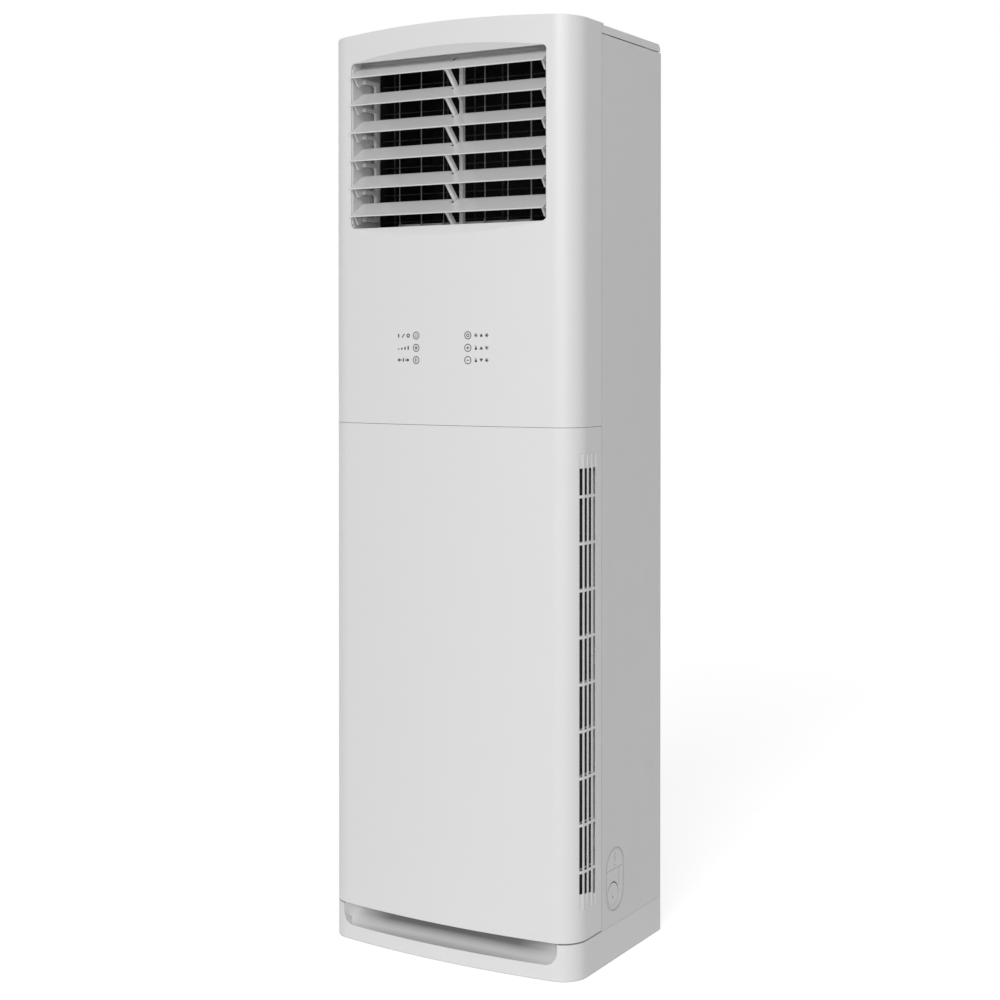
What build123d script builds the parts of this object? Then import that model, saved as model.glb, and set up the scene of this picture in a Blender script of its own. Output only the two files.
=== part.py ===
from build123d import *
import math
import os

# Floor-standing air conditioner, the indoor cabinet.
# Millimetres. +Z is up, the front faces -Y, and +X is on the viewer's right.
# The origin is on the floor, in the middle of the footprint.

# ---- casing ----
WIDTH = 580.0
DEPTH = 400.0
HEIGHT = 1870.0
BOW_RADIUS = 1813.0
CORNER_RADIUS = 54.0
CROWN_RISE = 10.0
PLINTH_TOP = 71.0
PLINTH_EDGE = 1.5
LOWER_BOTTOM = 74.0
LOWER_TOP = 1067.6
UPPER_BOTTOM = 1068.3
SIDE_TOP = 1838.5
COVER_BOTTOM = 1840.5
COVER_TOP = 1856.2
COVER_BACK_Y = 195.0
SEAM_Y = -69.0
SHEET_FRONT_Y = -67.8
SHEET_BACK_Y = 198.5
SKIN = 2.5
SHEET = 1.2
FLANGE = 14.0

# ---- hand recess in the plinth ----
RECESS_HALF = 252.0
RECESS_LOW = 30.0
RECESS_CORNER = 27.0
RECESS_REAR_CORNER = 36.0
RECESS_LIP = 10.0
RECESS_SWEEP = 41.0
PLINTH_WALL = 3.0
PLUG_X = -186.0
PLUG_Z = 56.0
PLUG_RADIUS = 13.0
PLUG_PROUD = 1.5
LEDGE = 16.0

# ---- steel floor and its anchor holes ----
PAN_EDGE = 40.0
PAN_FLOOR = 2.0
ANCHOR_X = (-220.0, 220.0)
ANCHOR_Y = (-110.0, 160.0)
ANCHOR_RADIUS = 6.0

# ---- side grilles of the lower panel ----
# Front edge, back edge and foot of each column of slots.
GRILLE_COLUMNS = (
    (-152.3, -143.0, 165.8),
    (-138.8, -128.2, 164.4),
    (-122.6, -110.8, 161.8),
    (-105.2, -94.0, 156.3),
)
SLOT_HIGH = 989.0
GRILLE_WALL = 1.5
RIB_FIRST = 208.0
RIB_PITCH = 90.8
RIB_COUNT = 9
RIB_HEIGHT = 5.5
BLIND_LOW = 135.0
BLIND_HIGH = 1018.0
BLIND_DEPTH = 0.8

# ---- stiffeners across the lower panel ----
STIFFENER_HEIGHTS = (330.0, 570.0, 810.0)
STIFFENER_HALF = 215.0

# ---- clips that hold the lower panel to the side panels ----
CLIP_HEIGHTS = (250.0, 610.0, 970.0)
CLIP_HALF = 11.0
CLIP_ROOM = 2.0

# ---- air filters behind the grilles ----
FILTER_X = 271.5
FILTER_THICK = 5.0
FILTER_BORDER = 4.0
FILTER_BAR = 3.0
NET_IN = 2.0
NET_THICK = 0.8
FILTER_FRONT_Y = -154.0
FILTER_BACK_Y = -76.0
FILTER_LOW = 140.0
FILTER_HIGH = 1004.0
FILTER_ROOM = 0.3
RAIL = 2.0

# ---- knock-out plates in the side panels ----
KNOCKOUT_Y = -10.0
KNOCKOUT_Z = 161.0
KNOCKOUT_WIDTH = 80.0
KNOCKOUT_HEIGHT = 126.0
KNOCKOUT_GAP = 1.3
KNOCKOUT_SUNK = 0.6
ROUND_KNOCKOUT_RADIUS = 24.0

# ---- rear panel and its pipe hole ----
REAR_SHEET = 1.0
REAR_RIBS_Z = (320.0, 620.0, 1000.0, 1300.0, 1600.0)
REAR_SCREWS_Z = (130.0, 400.0, 700.0, 900.0, 1200.0, 1500.0, 1800.0)
PIPE_HOLE_X = 150.0
PIPE_HOLE_Z = 170.0
PIPE_HOLE_RADIUS = 30.0
GROMMET_WALL = 3.0
GROMMET_LIP = 4.0
BRACKET_HOLE_X = 60.0
BRACKET_HOLE_Z = 1800.0

# ---- air outlet ----
OUTLET_HALF = 230.5
OUTLET_LOW = 1467.0
OUTLET_HIGH = 1806.0
OUTLET_CORNER = 10.0
RIM_Y = -186.0
RIM_DEPTH = 6.0
BEVEL_RISE = 16.5
BEVEL_DROP = 20.0
THROAT_HALF = 227.5
THROAT_LOW = 1464.0
THROAT_HIGH = 1808.0
LOUVER_ROOM_HIGH = 1821.0
ROOF_FRONT_Y = -170.0
ROOF_BACK_Y = -130.0
THROAT_WALL = 2.3
THROAT_FRONT_Y = -182.0
THROAT_BACK_Y = -84.0

# ---- louvers, whose blades slope down to the front ----
LOUVER_COUNT = 6
LOUVER_PITCH = 56.8
LOUVER_EDGE_Y = -195.6
LOUVER_EDGE_TOP_Z = 1774.1
BLADE_HALF = 227.0
BLADE_CHORD = 58.5
BLADE_THICK = 2.8
BLADE_TILT = 29.9
PIVOT_BACK = 18.0
PIVOT_UP = 4.0
CRANK_BACK = 38.0
CRANK_UP = -2.6
PLATE_INNER = 219.5
PLATE_OUTER = 223.0
PIN_RADIUS = 2.5
CENTRE_PIN_RADIUS = 2.0
CRANK_PIN_RADIUS = 2.2
RUNNING_FIT = 0.08
NOTCH_HALF = 5.5
NOTCH_DEPTH = 18.0
POST_HALF = 4.0
POST_FRONT_Y = -127.0
POST_BACK_Y = -117.0
ARM_HALF = 3.6
ARM_RADIUS = 4.8
LINK_INNER = 212.4
LINK_OUTER = 218.8
LINK_FRONT_Y = -120.3
LINK_BACK_Y = -108.6

# ---- stepper motors of the louvers and the vanes ----
MOTOR_CRANK_Z = 1655.7
MOTOR_RADIUS = 14.0
MOTOR_LENGTH = 18.0

# ---- vertical vanes behind the louvers ----
VANE_COLUMNS = (-157.0, -103.2, -49.4, 49.4, 103.2, 157.0)
VANE_Y = -115.0
VANE_FRONT = 13.0
VANE_BACK = 23.0
VANE_THICK = 1.0
VANE_TURN = 32.3
VANE_LOW = 1469.0
VANE_HIGH = 1804.0
VANE_PIN_RADIUS = 2.0
VANE_PIN_LENGTH = 8.0
VANE_CRANK = 19.0
VANE_CRANK_PIN_RADIUS = 1.6
VANE_ROD_LOW = 1473.5
VANE_ROD_HIGH = 1478.5

# ---- duct to the outlet and its guard ----
LINER_HALF = 274.0
LINER_THICK = 3.0
LINER_FRONT_Y = -64.0
LINER_BACK_Y = 190.0
LINER_LOW = 856.0
LINER_HIGH = 1829.0
LINER_BACK_LOW = 1400.0
GUARD_Y = -74.0
GUARD_WIRE = 2.4
GUARD_ROWS = 12
GUARD_FIRST_ROW = 22.0
GUARD_ROW_PITCH = 28.5
GUARD_COLUMNS = 7
GUARD_COLUMN_PITCH = 66.0

# ---- centrifugal fan ----
FAN_Z = 440.0
SCROLL_X = 12.0
SCROLL_STEP = 20.0
# Radii of the spiral's four arcs, from the widest round to the cut-off.
SCROLL_RADII = (250.0, 230.0, 210.0, 190.0)
SCROLL_CUTOFF = 40.0
SCROLL_FRONT_Y = -8.0
SCROLL_BACK_Y = 122.0
SCROLL_WALL = 1.5
SCROLL_REAR_HOLE = 32.0
SCROLL_FOOT_HALF = 180.0
IMPELLER_RADIUS = 170.0
IMPELLER_FRONT_Y = 4.0
IMPELLER_BACK_Y = 112.0
IMPELLER_DISC = 3.0
IMPELLER_RING = 14.0
FAN_BLADES = 36
BLADE_ROOT = 139.0
BLADE_CURVE = 27.0
BLADE_SHEET = 1.6
HUB_RADIUS = 20.0
HUB_LENGTH = 50.0
SHAFT_RADIUS = 6.0
THREAD_RADIUS = 4.0
THREAD_LENGTH = 16.0
NUT_RADIUS = 9.0
NUT_THICK = 8.0
INLET_RADIUS = 128.0
INLET_FLARE = 12.0
DECK_Z = 800.0
DECK_THICK = 1.5

# ---- fan motor and its bracket ----
MOTOR_GAP = 4.0
FAN_MOTOR_RADIUS = 62.0
FAN_MOTOR_LENGTH = 62.0
FAN_MOTOR_FLANGE = 74.0
MOTOR_RIBS = 8
MOTOR_RIB_PITCH = 12.0
BRACKET_RING = 84.0
BRACKET_REACH = 118.0

# ---- evaporator coil, leaning back ----
COIL_FOOT_Y = -28.0
COIL_FOOT_Z = 818.0
COIL_LEAN = 17.0
COIL_HALF = 222.0
COIL_LENGTH = 578.0
COIL_THICK = 44.0
FIN_PACKET = 12.0
GAS_HEADER_RADIUS = 9.0
LIQUID_HEADER_X = -246.5
LIQUID_HEADER_RADIUS = 5.5
TUBE_ROWS = 24
TUBE_PITCH = 23.5
TUBE_FIRST = 18.0
TUBE_OFFSET = 11.0
TUBE_RADIUS = 4.76
TUBE_WALL = 0.6
TUBE_FIT = 0.14
GAS_X = -250.0
GAS_Y = 70.0
GAS_RADIUS = 7.9
LIQUID_X = -268.0
LIQUID_Y = 98.0
LIQUID_RADIUS = 4.8
STUB_Z = 300.0
DRAIN_X = 262.0
DRAIN_Y = 160.0
DRAIN_RADIUS = 7.0
DRAIN_RISE = 12.0
DRAIN_END = 60.0
PAN_BACK_Y = 14.0
TRAY_HALF = 274.0
TRAY_HIGH = 852.0

# ---- control box ----
CONTROL_X0, CONTROL_X1 = -190.0, 120.0
CONTROL_FRONT_Y, CONTROL_BACK_Y = -130.0, -66.4
CONTROL_LOW, CONTROL_HIGH = 1092.0, 1400.0
LID_SLOTS = 8
LID_SLOT_PITCH = 24.0
MAIN_BOARD = (-170.0, 40.0, 1200.0, 1380.0)
TERMINALS = (-60.0, 60.0, 1110.0, 1140.0)
TERMINAL_COUNT = 6
TERMINAL_PITCH = 20.0
CAPACITOR_X = 88.0
CAPACITOR_Y = -92.0
CAPACITOR_RADIUS = 17.0
CAPACITOR_TOP = 1180.0
GLAND_X = -160.0
GLAND_Y = -98.0
GLAND_RADIUS = 8.6

# ---- display keys behind the upper panel ----
KEY_COLUMN_X = 61.0
KEY_ROWS_Z = (1246.6, 1222.0, 1197.6)
BOARD_Y = -189.0
BOARD_HALF = 92.0
BOARD_LOW = 1172.0
BOARD_HIGH = 1272.0
BOARD_POST_X = 80.0

HALF = WIDTH / 2
FRONT_Y = -DEPTH / 2
BACK_Y = DEPTH / 2
CROWN_RADIUS = (HALF ** 2 + CROWN_RISE ** 2) / (2 * CROWN_RISE)
BLADE_SLOPE = math.tan(math.radians(BLADE_TILT))
PIVOT_Y = LOUVER_EDGE_Y + PIVOT_BACK
CRANK_Y = LOUVER_EDGE_Y + CRANK_BACK
SHEET_FACE = HALF - SHEET
REAR_FACE_Y = SHEET_BACK_Y - REAR_SHEET
SCROLL_OPEN_X = SCROLL_X + SCROLL_RADII[0]
SCROLL_CUTOFF_X = SCROLL_X - SCROLL_STEP + SCROLL_RADII[3] * math.sin(math.radians(SCROLL_CUTOFF))
MOTOR_CRANK_Y = (LINK_FRONT_Y + LINK_BACK_Y) / 2 - (CRANK_BACK - PIVOT_BACK)


# ---- plain shapes ----
def box(x0, x1, y0, y1, z0, z1):
    """Block between two corners."""
    middle = Pos((x0 + x1) / 2, (y0 + y1) / 2, (z0 + z1) / 2)
    return middle * Box(x1 - x0, y1 - y0, z1 - z0)


def rod_x(x0, x1, y, z, radius):
    """Round bar along X."""
    return Pos((x0 + x1) / 2, y, z) * Rot(0, 90, 0) * Cylinder(radius, x1 - x0)


def rod_y(x, y0, y1, z, radius):
    """Round bar along Y."""
    return Pos(x, (y0 + y1) / 2, z) * Rot(90, 0, 0) * Cylinder(radius, y1 - y0)


def rod_z(x, y, z0, z1, radius):
    """Round bar along Z."""
    return Pos(x, y, (z0 + z1) / 2) * Cylinder(radius, z1 - z0)


def lift(plan, z0, z1):
    """Prism standing on a plan."""
    return Pos(0, 0, z0) * extrude(plan, amount=z1 - z0)


def side_slab(points, x0, x1):
    """Prism along X over a (Y, Z) outline."""
    outline = make_face(Polyline(*points, close=True))
    return extrude(Plane.YZ.offset(x0) * outline, amount=x1 - x0)


def front_slab(face, y0, y1):
    """Prism along Y over an (X, Z) face."""
    return extrude(Plane.XZ.offset(-y1) * face, amount=y1 - y0)


def rounded_window(half_width, z0, z1, radius):
    """Front view of a window with rounded corners."""
    return Pos(0, (z0 + z1) / 2) * RectangleRounded(2 * half_width, z1 - z0, radius)


def mirrored(shape):
    """The same shape on the other side of the cabinet."""
    return mirror(shape, about=Plane.YZ)


def both_sides(shape):
    """A shape and its mirror image."""
    return shape + mirrored(shape)


def bow_y(x):
    """Y of the bowed front at x."""
    return FRONT_Y + BOW_RADIUS - math.sqrt(BOW_RADIUS ** 2 - x ** 2)


def plan_outline(inset, back_y):
    """Cabinet plan drawn in by inset: straight sides, round corners, bowed front."""
    half = HALF - inset
    front = FRONT_Y - CORNER_RADIUS
    block = Pos(0, (front + back_y) / 2) * Rectangle(2 * half, back_y - front)
    bow = Pos(0, FRONT_Y + BOW_RADIUS) * Circle(BOW_RADIUS - inset)
    plan = block & bow
    corners = plan.vertices().group_by(Axis.Y)[0]
    return fillet(corners, radius=CORNER_RADIUS - inset)


def under_crown(drop):
    """All that lies below the crowned top, drawn down by drop."""
    middle_z = HEIGHT - CROWN_RADIUS
    return rod_y(0, FRONT_Y - DEPTH, BACK_Y + DEPTH, middle_z, CROWN_RADIUS - drop)


# ---- casing ----
def recess_profile(wall):
    """Hand recess seen from the side, grown by a wall: flat lip, round floor, rear wall."""
    low = RECESS_LOW - wall
    radius = RECESS_SWEEP + wall
    bend_y = FRONT_Y + RECESS_LIP
    back = bend_y + radius
    halfway = radius * math.sqrt(0.5)
    open_y = FRONT_Y - DEPTH
    top = PLINTH_TOP + 1
    floor = Line((open_y, low), (bend_y, low))
    floor += ThreePointArc((bend_y, low), (bend_y + halfway, low + radius - halfway), (back, low + radius))
    rest = Polyline((back, low + radius), (back, top + wall), (open_y, top + wall), (open_y, low))
    return extrude(Plane.YZ.offset(-HALF) * make_face(floor + rest), amount=WIDTH)


def recess_body(wall):
    """Space of the hand recess, grown by a wall: round corners in front and in plan."""
    half = RECESS_HALF + wall
    window = rounded_window(half, RECESS_LOW - wall, HEIGHT, RECESS_CORNER + wall)
    back = FRONT_Y + RECESS_LIP + RECESS_SWEEP + wall
    plan = Pos(0, back - DEPTH) * RectangleRounded(2 * half, 2 * DEPTH, RECESS_REAR_CORNER + wall)
    return recess_profile(wall) & front_slab(window, FRONT_Y - DEPTH, BACK_Y) & lift(plan, 0, HEIGHT)


def base_plinth():
    """Moulded skirt with a ledge for the side panels and a hand recess in front."""
    outer = lift(plan_outline(0, SHEET_BACK_Y), 0, PLINTH_TOP)
    outer = fillet(outer.edges().group_by(Axis.Z)[-1], radius=PLINTH_EDGE)
    inside = lift(plan_outline(PLINTH_WALL, SHEET_BACK_Y - PLINTH_WALL), -1, PLINTH_TOP - PLINTH_WALL)
    well_front = FRONT_Y + RECESS_LIP + RECESS_SWEEP + PLINTH_WALL
    well = box(LEDGE - HALF, HALF - LEDGE, well_front, SHEET_BACK_Y - LEDGE, 0, PLINTH_TOP + 1)
    trough = recess_body(PLINTH_WALL) & outer
    skirt = outer - inside - well + trough - recess_body(0)
    wall_y = well_front - PLINTH_WALL
    plug = rod_y(PLUG_X, wall_y - PLUG_PROUD, wall_y + 1, PLUG_Z, PLUG_RADIUS)
    return skirt + plug


def base_pan():
    """Pressed steel floor with raised edges and four anchor holes."""
    half = HALF - PLINTH_WALL - 1.5
    front = FRONT_Y + 62
    back = SHEET_BACK_Y - PLINTH_WALL - 1.5
    pan = box(-half, half, front, back, 0, PAN_EDGE)
    pan -= box(1.5 - half, half - 1.5, front + 1.5, back - 1.5, PAN_FLOOR, PAN_EDGE + 1)
    holes = [rod_z(x, y, -1, PAN_FLOOR + 1, ANCHOR_RADIUS) for x in ANCHOR_X for y in ANCHOR_Y]
    return pan - holes


def oval(shrink):
    """Upright oval of the knock-out in the (Y, Z) plane, drawn in all round."""
    tall, wide = KNOCKOUT_HEIGHT - 2 * shrink, KNOCKOUT_WIDTH - 2 * shrink
    return Plane.YZ * Pos(KNOCKOUT_Y, KNOCKOUT_Z) * Rot(0, 0, 90) * SlotOverall(tall, wide)


def side_panel_right():
    """Folded steel side with flanges, a deck ledge and slots for the front clips."""
    panel = box(SHEET_FACE, HALF, SHEET_FRONT_Y, SHEET_BACK_Y, PLINTH_TOP, SIDE_TOP)
    front = box(HALF - 24, HALF, SHEET_FRONT_Y, SHEET_FRONT_Y + SHEET, PLINTH_TOP, SIDE_TOP)
    rear_y = REAR_FACE_Y - SHEET
    rear = box(HALF - 16, HALF, rear_y, rear_y + SHEET, PLINTH_TOP, SIDE_TOP)
    top = box(HALF - 24, HALF, SHEET_FRONT_Y, rear_y, SIDE_TOP - SHEET, SIDE_TOP)
    foot = box(HALF - LEDGE, HALF, SHEET_FRONT_Y, rear_y, PLINTH_TOP, PLINTH_TOP + SHEET)
    shelf = box(HALF - LEDGE, HALF, SHEET_FRONT_Y + 8, rear_y - 4, DECK_Z - SHEET, DECK_Z)
    panel = panel + front + rear + top + foot + shelf
    panel -= extrude(oval(0), amount=WIDTH)
    return panel - [clip_slot(z) for z in CLIP_HEIGHTS]


def clip_slot(z):
    """Window in the front flange that a clip of the lower panel enters."""
    reach = CLIP_HALF + CLIP_ROOM
    return box(HALF - 14, HALF - 6, SHEET_FRONT_Y - 1, SHEET_FRONT_Y + 2, z - reach, z + reach)


def oval_plate(shrink, x0, x1):
    """Oval plate between two depths."""
    return extrude(oval(shrink), amount=x1) & box(x0, x1, FRONT_Y, BACK_Y, 0, HEIGHT)


def knockout_plate_right():
    """Oval blanking plate behind its window: a stepped pad, a round knock-out and a slit."""
    face = HALF - KNOCKOUT_SUNK
    y, z = KNOCKOUT_Y, KNOCKOUT_Z
    plate = oval_plate(-5, SHEET_FACE - SHEET, SHEET_FACE) + oval_plate(KNOCKOUT_GAP, SHEET_FACE - 1, face)
    border = oval_plate(3.8, face - 0.3, HALF) - oval_plate(4.8, face - 1, HALF + 1)
    line = box(face - 0.5, HALF, y - 36, y + 30, z + 20, z + 21.6)
    step = box(face - 0.4, HALF, y + 17, y + 18.4, z - 16, z + 20)
    slit = box(face - 0.5, HALF, y - 0.8, y + 0.8, z + 34, z + 52)
    dots = [rod_x(face - 0.7, HALF, y - 1, z + 28, 1.6), rod_x(face - 0.5, HALF, y, z + 52, 1.6)]
    plate = plate - border - line - step - slit - dots
    return plate - round_knockout(y - 9, z - 28, face)


def round_knockout(y, z, face):
    """Ring groove of the round knock-out, cut through over the top, and its pry slot."""
    radius = ROUND_KNOCKOUT_RADIUS
    groove = rod_x(face - 0.3, HALF, y, z, radius) - rod_x(face - 1, HALF + 1, y, z, radius - 1.2)
    cut = rod_x(face - 5, HALF, y, z, radius) - rod_x(face - 6, HALF + 1, y, z, radius - 2.2)
    cut &= box(face - 6, HALF + 1, y - 19, y + 22, z + 9, z + radius + 1)
    pry_slot = Pos(face, y - 1, z - 6) * Rot(30, 0, 0) * Box(10, 2.2, 9)
    return groove + cut + pry_slot


def rear_panel():
    """Back sheet with pressed ribs, a pipe hole and a row of screws down each edge."""
    half = SHEET_FACE - 0.2
    panel = box(-half, half, REAR_FACE_Y, SHEET_BACK_Y, PLINTH_TOP, SIDE_TOP)
    ribs = [box(-230, 230, SHEET_BACK_Y, BACK_Y - 0.3, z - 9, z + 9) for z in REAR_RIBS_Z]
    hole_radius = PIPE_HOLE_RADIUS + GROMMET_WALL
    panel = panel + ribs - bracket_slots()
    return panel - rod_y(PIPE_HOLE_X, REAR_FACE_Y - 1, BACK_Y + 1, PIPE_HOLE_Z, hole_radius)


def pipe_grommet():
    """Rubber edging of the pipe hole in the rear panel."""
    outer = PIPE_HOLE_RADIUS + GROMMET_WALL
    neck = rod_y(PIPE_HOLE_X, REAR_FACE_Y - 1, BACK_Y, PIPE_HOLE_Z, outer)
    inner_lip = rod_y(PIPE_HOLE_X, REAR_FACE_Y - 3, REAR_FACE_Y, PIPE_HOLE_Z, outer + GROMMET_LIP)
    outer_lip = rod_y(PIPE_HOLE_X, SHEET_BACK_Y, BACK_Y, PIPE_HOLE_Z, outer + GROMMET_LIP)
    bore = rod_y(PIPE_HOLE_X, REAR_FACE_Y - 9, BACK_Y + 9, PIPE_HOLE_Z, PIPE_HOLE_RADIUS)
    return neck + inner_lip + outer_lip - bore


def top_cover():
    """Shallow lid with skirts, rounded at the back, on pads over the side panels."""
    lid = box(-HALF, HALF, SHEET_FRONT_Y, COVER_BACK_Y, COVER_BOTTOM, COVER_TOP)
    back_edge = lid.edges().filter_by(Axis.X).group_by(Axis.Z)[-1].sort_by(Axis.Y)[-1]
    lid = fillet(back_edge, radius=12)
    hollow = box(
        SHEET * 1.5 - HALF, HALF - SHEET * 1.5, SHEET_FRONT_Y + 2, COVER_BACK_Y - 4,
        COVER_BOTTOM - 1, COVER_TOP - 2,
    )
    hollow_edge = hollow.edges().filter_by(Axis.X).group_by(Axis.Z)[-1].sort_by(Axis.Y)[-1]
    lid -= fillet(hollow_edge, radius=10)
    pads = []
    for y in (-40, 150):
        pads.append(box(HALF - 22, HALF - 4, y - 15, y + 15, SIDE_TOP, COVER_TOP - 1))
    return lid + both_sides(Part() + pads)


def outlet_bevel(edge_z, rise):
    """Sloped band from the flat rim out to the bow: its skin and the air in front of it."""
    reach = (RIM_Y - FRONT_Y + 8) / (RIM_Y - FRONT_Y)
    far = (FRONT_Y - 8, edge_z + rise * reach)
    near = (RIM_Y, edge_z)
    thick = math.copysign(4.0, rise)
    behind = ((near[0], near[1] + thick), (far[0], far[1] + thick))
    skin = side_slab((near, far, behind[1], behind[0]), -OUTLET_HALF, OUTLET_HALF)
    air = side_slab((near, far, (far[0], edge_z)), -OUTLET_HALF, OUTLET_HALF)
    return skin, air


def upper_front_panel():
    """Moulded upper front: bowed, crowned on top, with the outlet and its rim."""
    outer = lift(plan_outline(0, SEAM_Y), UPPER_BOTTOM, HEIGHT + 1) & under_crown(0)
    inner = lift(plan_outline(SKIN, BACK_Y), UPPER_BOTTOM + SKIN, HEIGHT + 1) & under_crown(SKIN)
    well = lift(plan_outline(FLANGE, BACK_Y), UPPER_BOTTOM - 1, UPPER_BOTTOM + 9)
    panel = outer - inner - well
    lip = box(-HALF, HALF, SEAM_Y - 1, SEAM_Y + 7, COVER_TOP, HEIGHT + 1)
    panel += (lip & under_crown(0)) - under_crown(3)
    upper_skin, upper_air = outlet_bevel(OUTLET_HIGH, BEVEL_RISE)
    lower_skin, lower_air = outlet_bevel(OUTLET_LOW, -BEVEL_DROP)
    window = rounded_window(OUTLET_HALF, OUTLET_LOW, OUTLET_HIGH, OUTLET_CORNER)
    band = rounded_window(
        OUTLET_HALF + SKIN, OUTLET_LOW - SKIN, OUTLET_HIGH + SKIN, OUTLET_CORNER + SKIN
    )
    turn_in = front_slab(band, RIM_Y - 1, RIM_Y + RIM_DEPTH)
    panel += (upper_skin + lower_skin + turn_in) & outer
    panel -= upper_air + lower_air
    panel -= front_slab(window, FRONT_Y - 9, RIM_Y + 20)
    for x in (-BOARD_POST_X, BOARD_POST_X):
        for z in (BOARD_LOW + 8, BOARD_HIGH - 8):
            panel += rod_y(x, bow_y(x) + SKIN - 1, BOARD_Y, z, 3.5)
    return panel


def grille_slots():
    """Through slots of the right grille, in rows between the cross ribs."""
    slots = []
    for front, back, foot in GRILLE_COLUMNS:
        low = foot
        for rib in range(RIB_COUNT):
            middle = rib_height(rib)
            slots.append(box(HALF - 20, HALF + 1, front, back, low, middle - RIB_HEIGHT / 2))
            low = middle + RIB_HEIGHT / 2
        slots.append(box(HALF - 20, HALF + 1, front, back, low, SLOT_HIGH))
    return slots


def rib_height(rib):
    """Height of a cross rib's middle, counted from the lowest."""
    return RIB_FIRST + rib * RIB_PITCH


def blind_slots():
    """Shallow ends of the grille columns, above and below the open slots."""
    ends = []
    for front, back, foot in GRILLE_COLUMNS:
        ends.append(box(HALF - 20, HALF + 1, front, back, BLIND_LOW, foot))
        ends.append(box(HALF - 20, HALF + 1, front, back, SLOT_HIGH, BLIND_HIGH))
    return Part() + ends


def grille_thinning():
    """What comes off the inside of the right wrap behind the grille."""
    zone = box(HALF - 40, HALF, FRONT_Y + 44, SEAM_Y - 17, BLIND_LOW - 5, BLIND_HIGH + 5)
    return zone & lift(plan_outline(GRILLE_WALL, BACK_Y), 0, HEIGHT)


def filter_rails():
    """Upright channels behind the right grille that hold the filter, and its stop."""
    z0, z1 = FILTER_LOW - 6, FILTER_HIGH + 6
    inner = FILTER_X - FILTER_ROOM
    outer = FILTER_X + FILTER_THICK + FILTER_ROOM
    front = FILTER_FRONT_Y - FILTER_ROOM
    back = FILTER_BACK_Y + FILTER_ROOM
    grip = 4.0
    rails = [
        box(inner - RAIL, HALF - 8, front - RAIL, front, z0, z1),
        box(inner - RAIL, HALF - 2, back, back + RAIL, z0, z1),
        box(inner - RAIL, HALF - 7, front, back, z0, z0 + RAIL),
    ]
    for x in (inner - RAIL, outer):
        rails.append(box(x, x + RAIL, front - RAIL, front + grip, z0, z1))
        rails.append(box(x, x + RAIL, back - grip, back + RAIL, z0, z1))
    return rails


def clip(z):
    """Tongue of the lower panel that enters a slot in the side panel's flange."""
    return box(HALF - 12, HALF - 8, SEAM_Y - 12, SHEET_FRONT_Y + 3.5, z - CLIP_HALF, z + CLIP_HALF)


def clip_root(z):
    """Web that joins a clip to the panel's side wall."""
    return box(HALF - 12, HALF - 1, SEAM_Y - 12, SEAM_Y - 2, z - CLIP_HALF, z + CLIP_HALF)


def lower_front_panel():
    """Moulded lower front with grilles in both wraps, clips, stiffeners and filter rails."""
    panel = lift(plan_outline(0, SEAM_Y), LOWER_BOTTOM, LOWER_TOP)
    panel -= lift(plan_outline(SKIN, BACK_Y), LOWER_BOTTOM + SKIN, LOWER_TOP - SKIN)
    panel -= lift(plan_outline(FLANGE, BACK_Y), LOWER_BOTTOM - 1, LOWER_TOP + 1)
    panel -= both_sides(grille_thinning())
    film = lift(plan_outline(-1, SEAM_Y) - plan_outline(BLIND_DEPTH, BACK_Y), 0, HEIGHT)
    shallow = film & blind_slots()
    slots = grille_slots()
    panel -= slots + [mirrored(slot) for slot in slots]
    panel -= shallow + mirrored(shallow)
    right_side = Part() + filter_rails() + [clip(z) for z in CLIP_HEIGHTS]
    right_side += [clip_root(z) for z in CLIP_HEIGHTS]
    panel += both_sides(right_side)
    for z in STIFFENER_HEIGHTS:
        rib = lift(plan_outline(SKIN - 0.5, SEAM_Y) - plan_outline(SKIN + 7, BACK_Y), z, z + 2)
        panel += rib & box(-STIFFENER_HALF, STIFFENER_HALF, FRONT_Y, SEAM_Y, z, z + 2)
    return panel


def air_filter_right():
    """Washable filter: a frame with cross bars and a net."""
    x0, x1 = FILTER_X, FILTER_X + FILTER_THICK
    frame = box(x0, x1, FILTER_FRONT_Y, FILTER_BACK_Y, FILTER_LOW, FILTER_HIGH)
    levels = [FILTER_LOW + FILTER_BORDER - FILTER_BAR / 2]
    levels += [rib_height(rib) for rib in range(RIB_COUNT)]
    levels.append(FILTER_HIGH - FILTER_BORDER + FILTER_BAR / 2)
    y0, y1 = FILTER_FRONT_Y + FILTER_BORDER, FILTER_BACK_Y - FILTER_BORDER
    windows = []
    for below, above in zip(levels, levels[1:]):
        low, high = below + FILTER_BAR / 2, above - FILTER_BAR / 2
        windows.append(box(x0 - 1, x0 + NET_IN, y0, y1, low, high))
        windows.append(box(x0 + NET_IN + NET_THICK, x1 + 1, y0, y1, low, high))
    return frame - windows


# ---- outlet ----
def throat_section(wall, front_y, back_y):
    """Side view of the throat, grown by a wall: its roof slopes down behind the top louver."""
    low, high, top = THROAT_LOW - wall, THROAT_HIGH + wall, LOUVER_ROOM_HIGH + wall
    roof = ((front_y, top), (ROOF_FRONT_Y, top), (ROOF_BACK_Y, high), (back_y, high))
    return ((front_y, low), *roof, (back_y, low))


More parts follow.
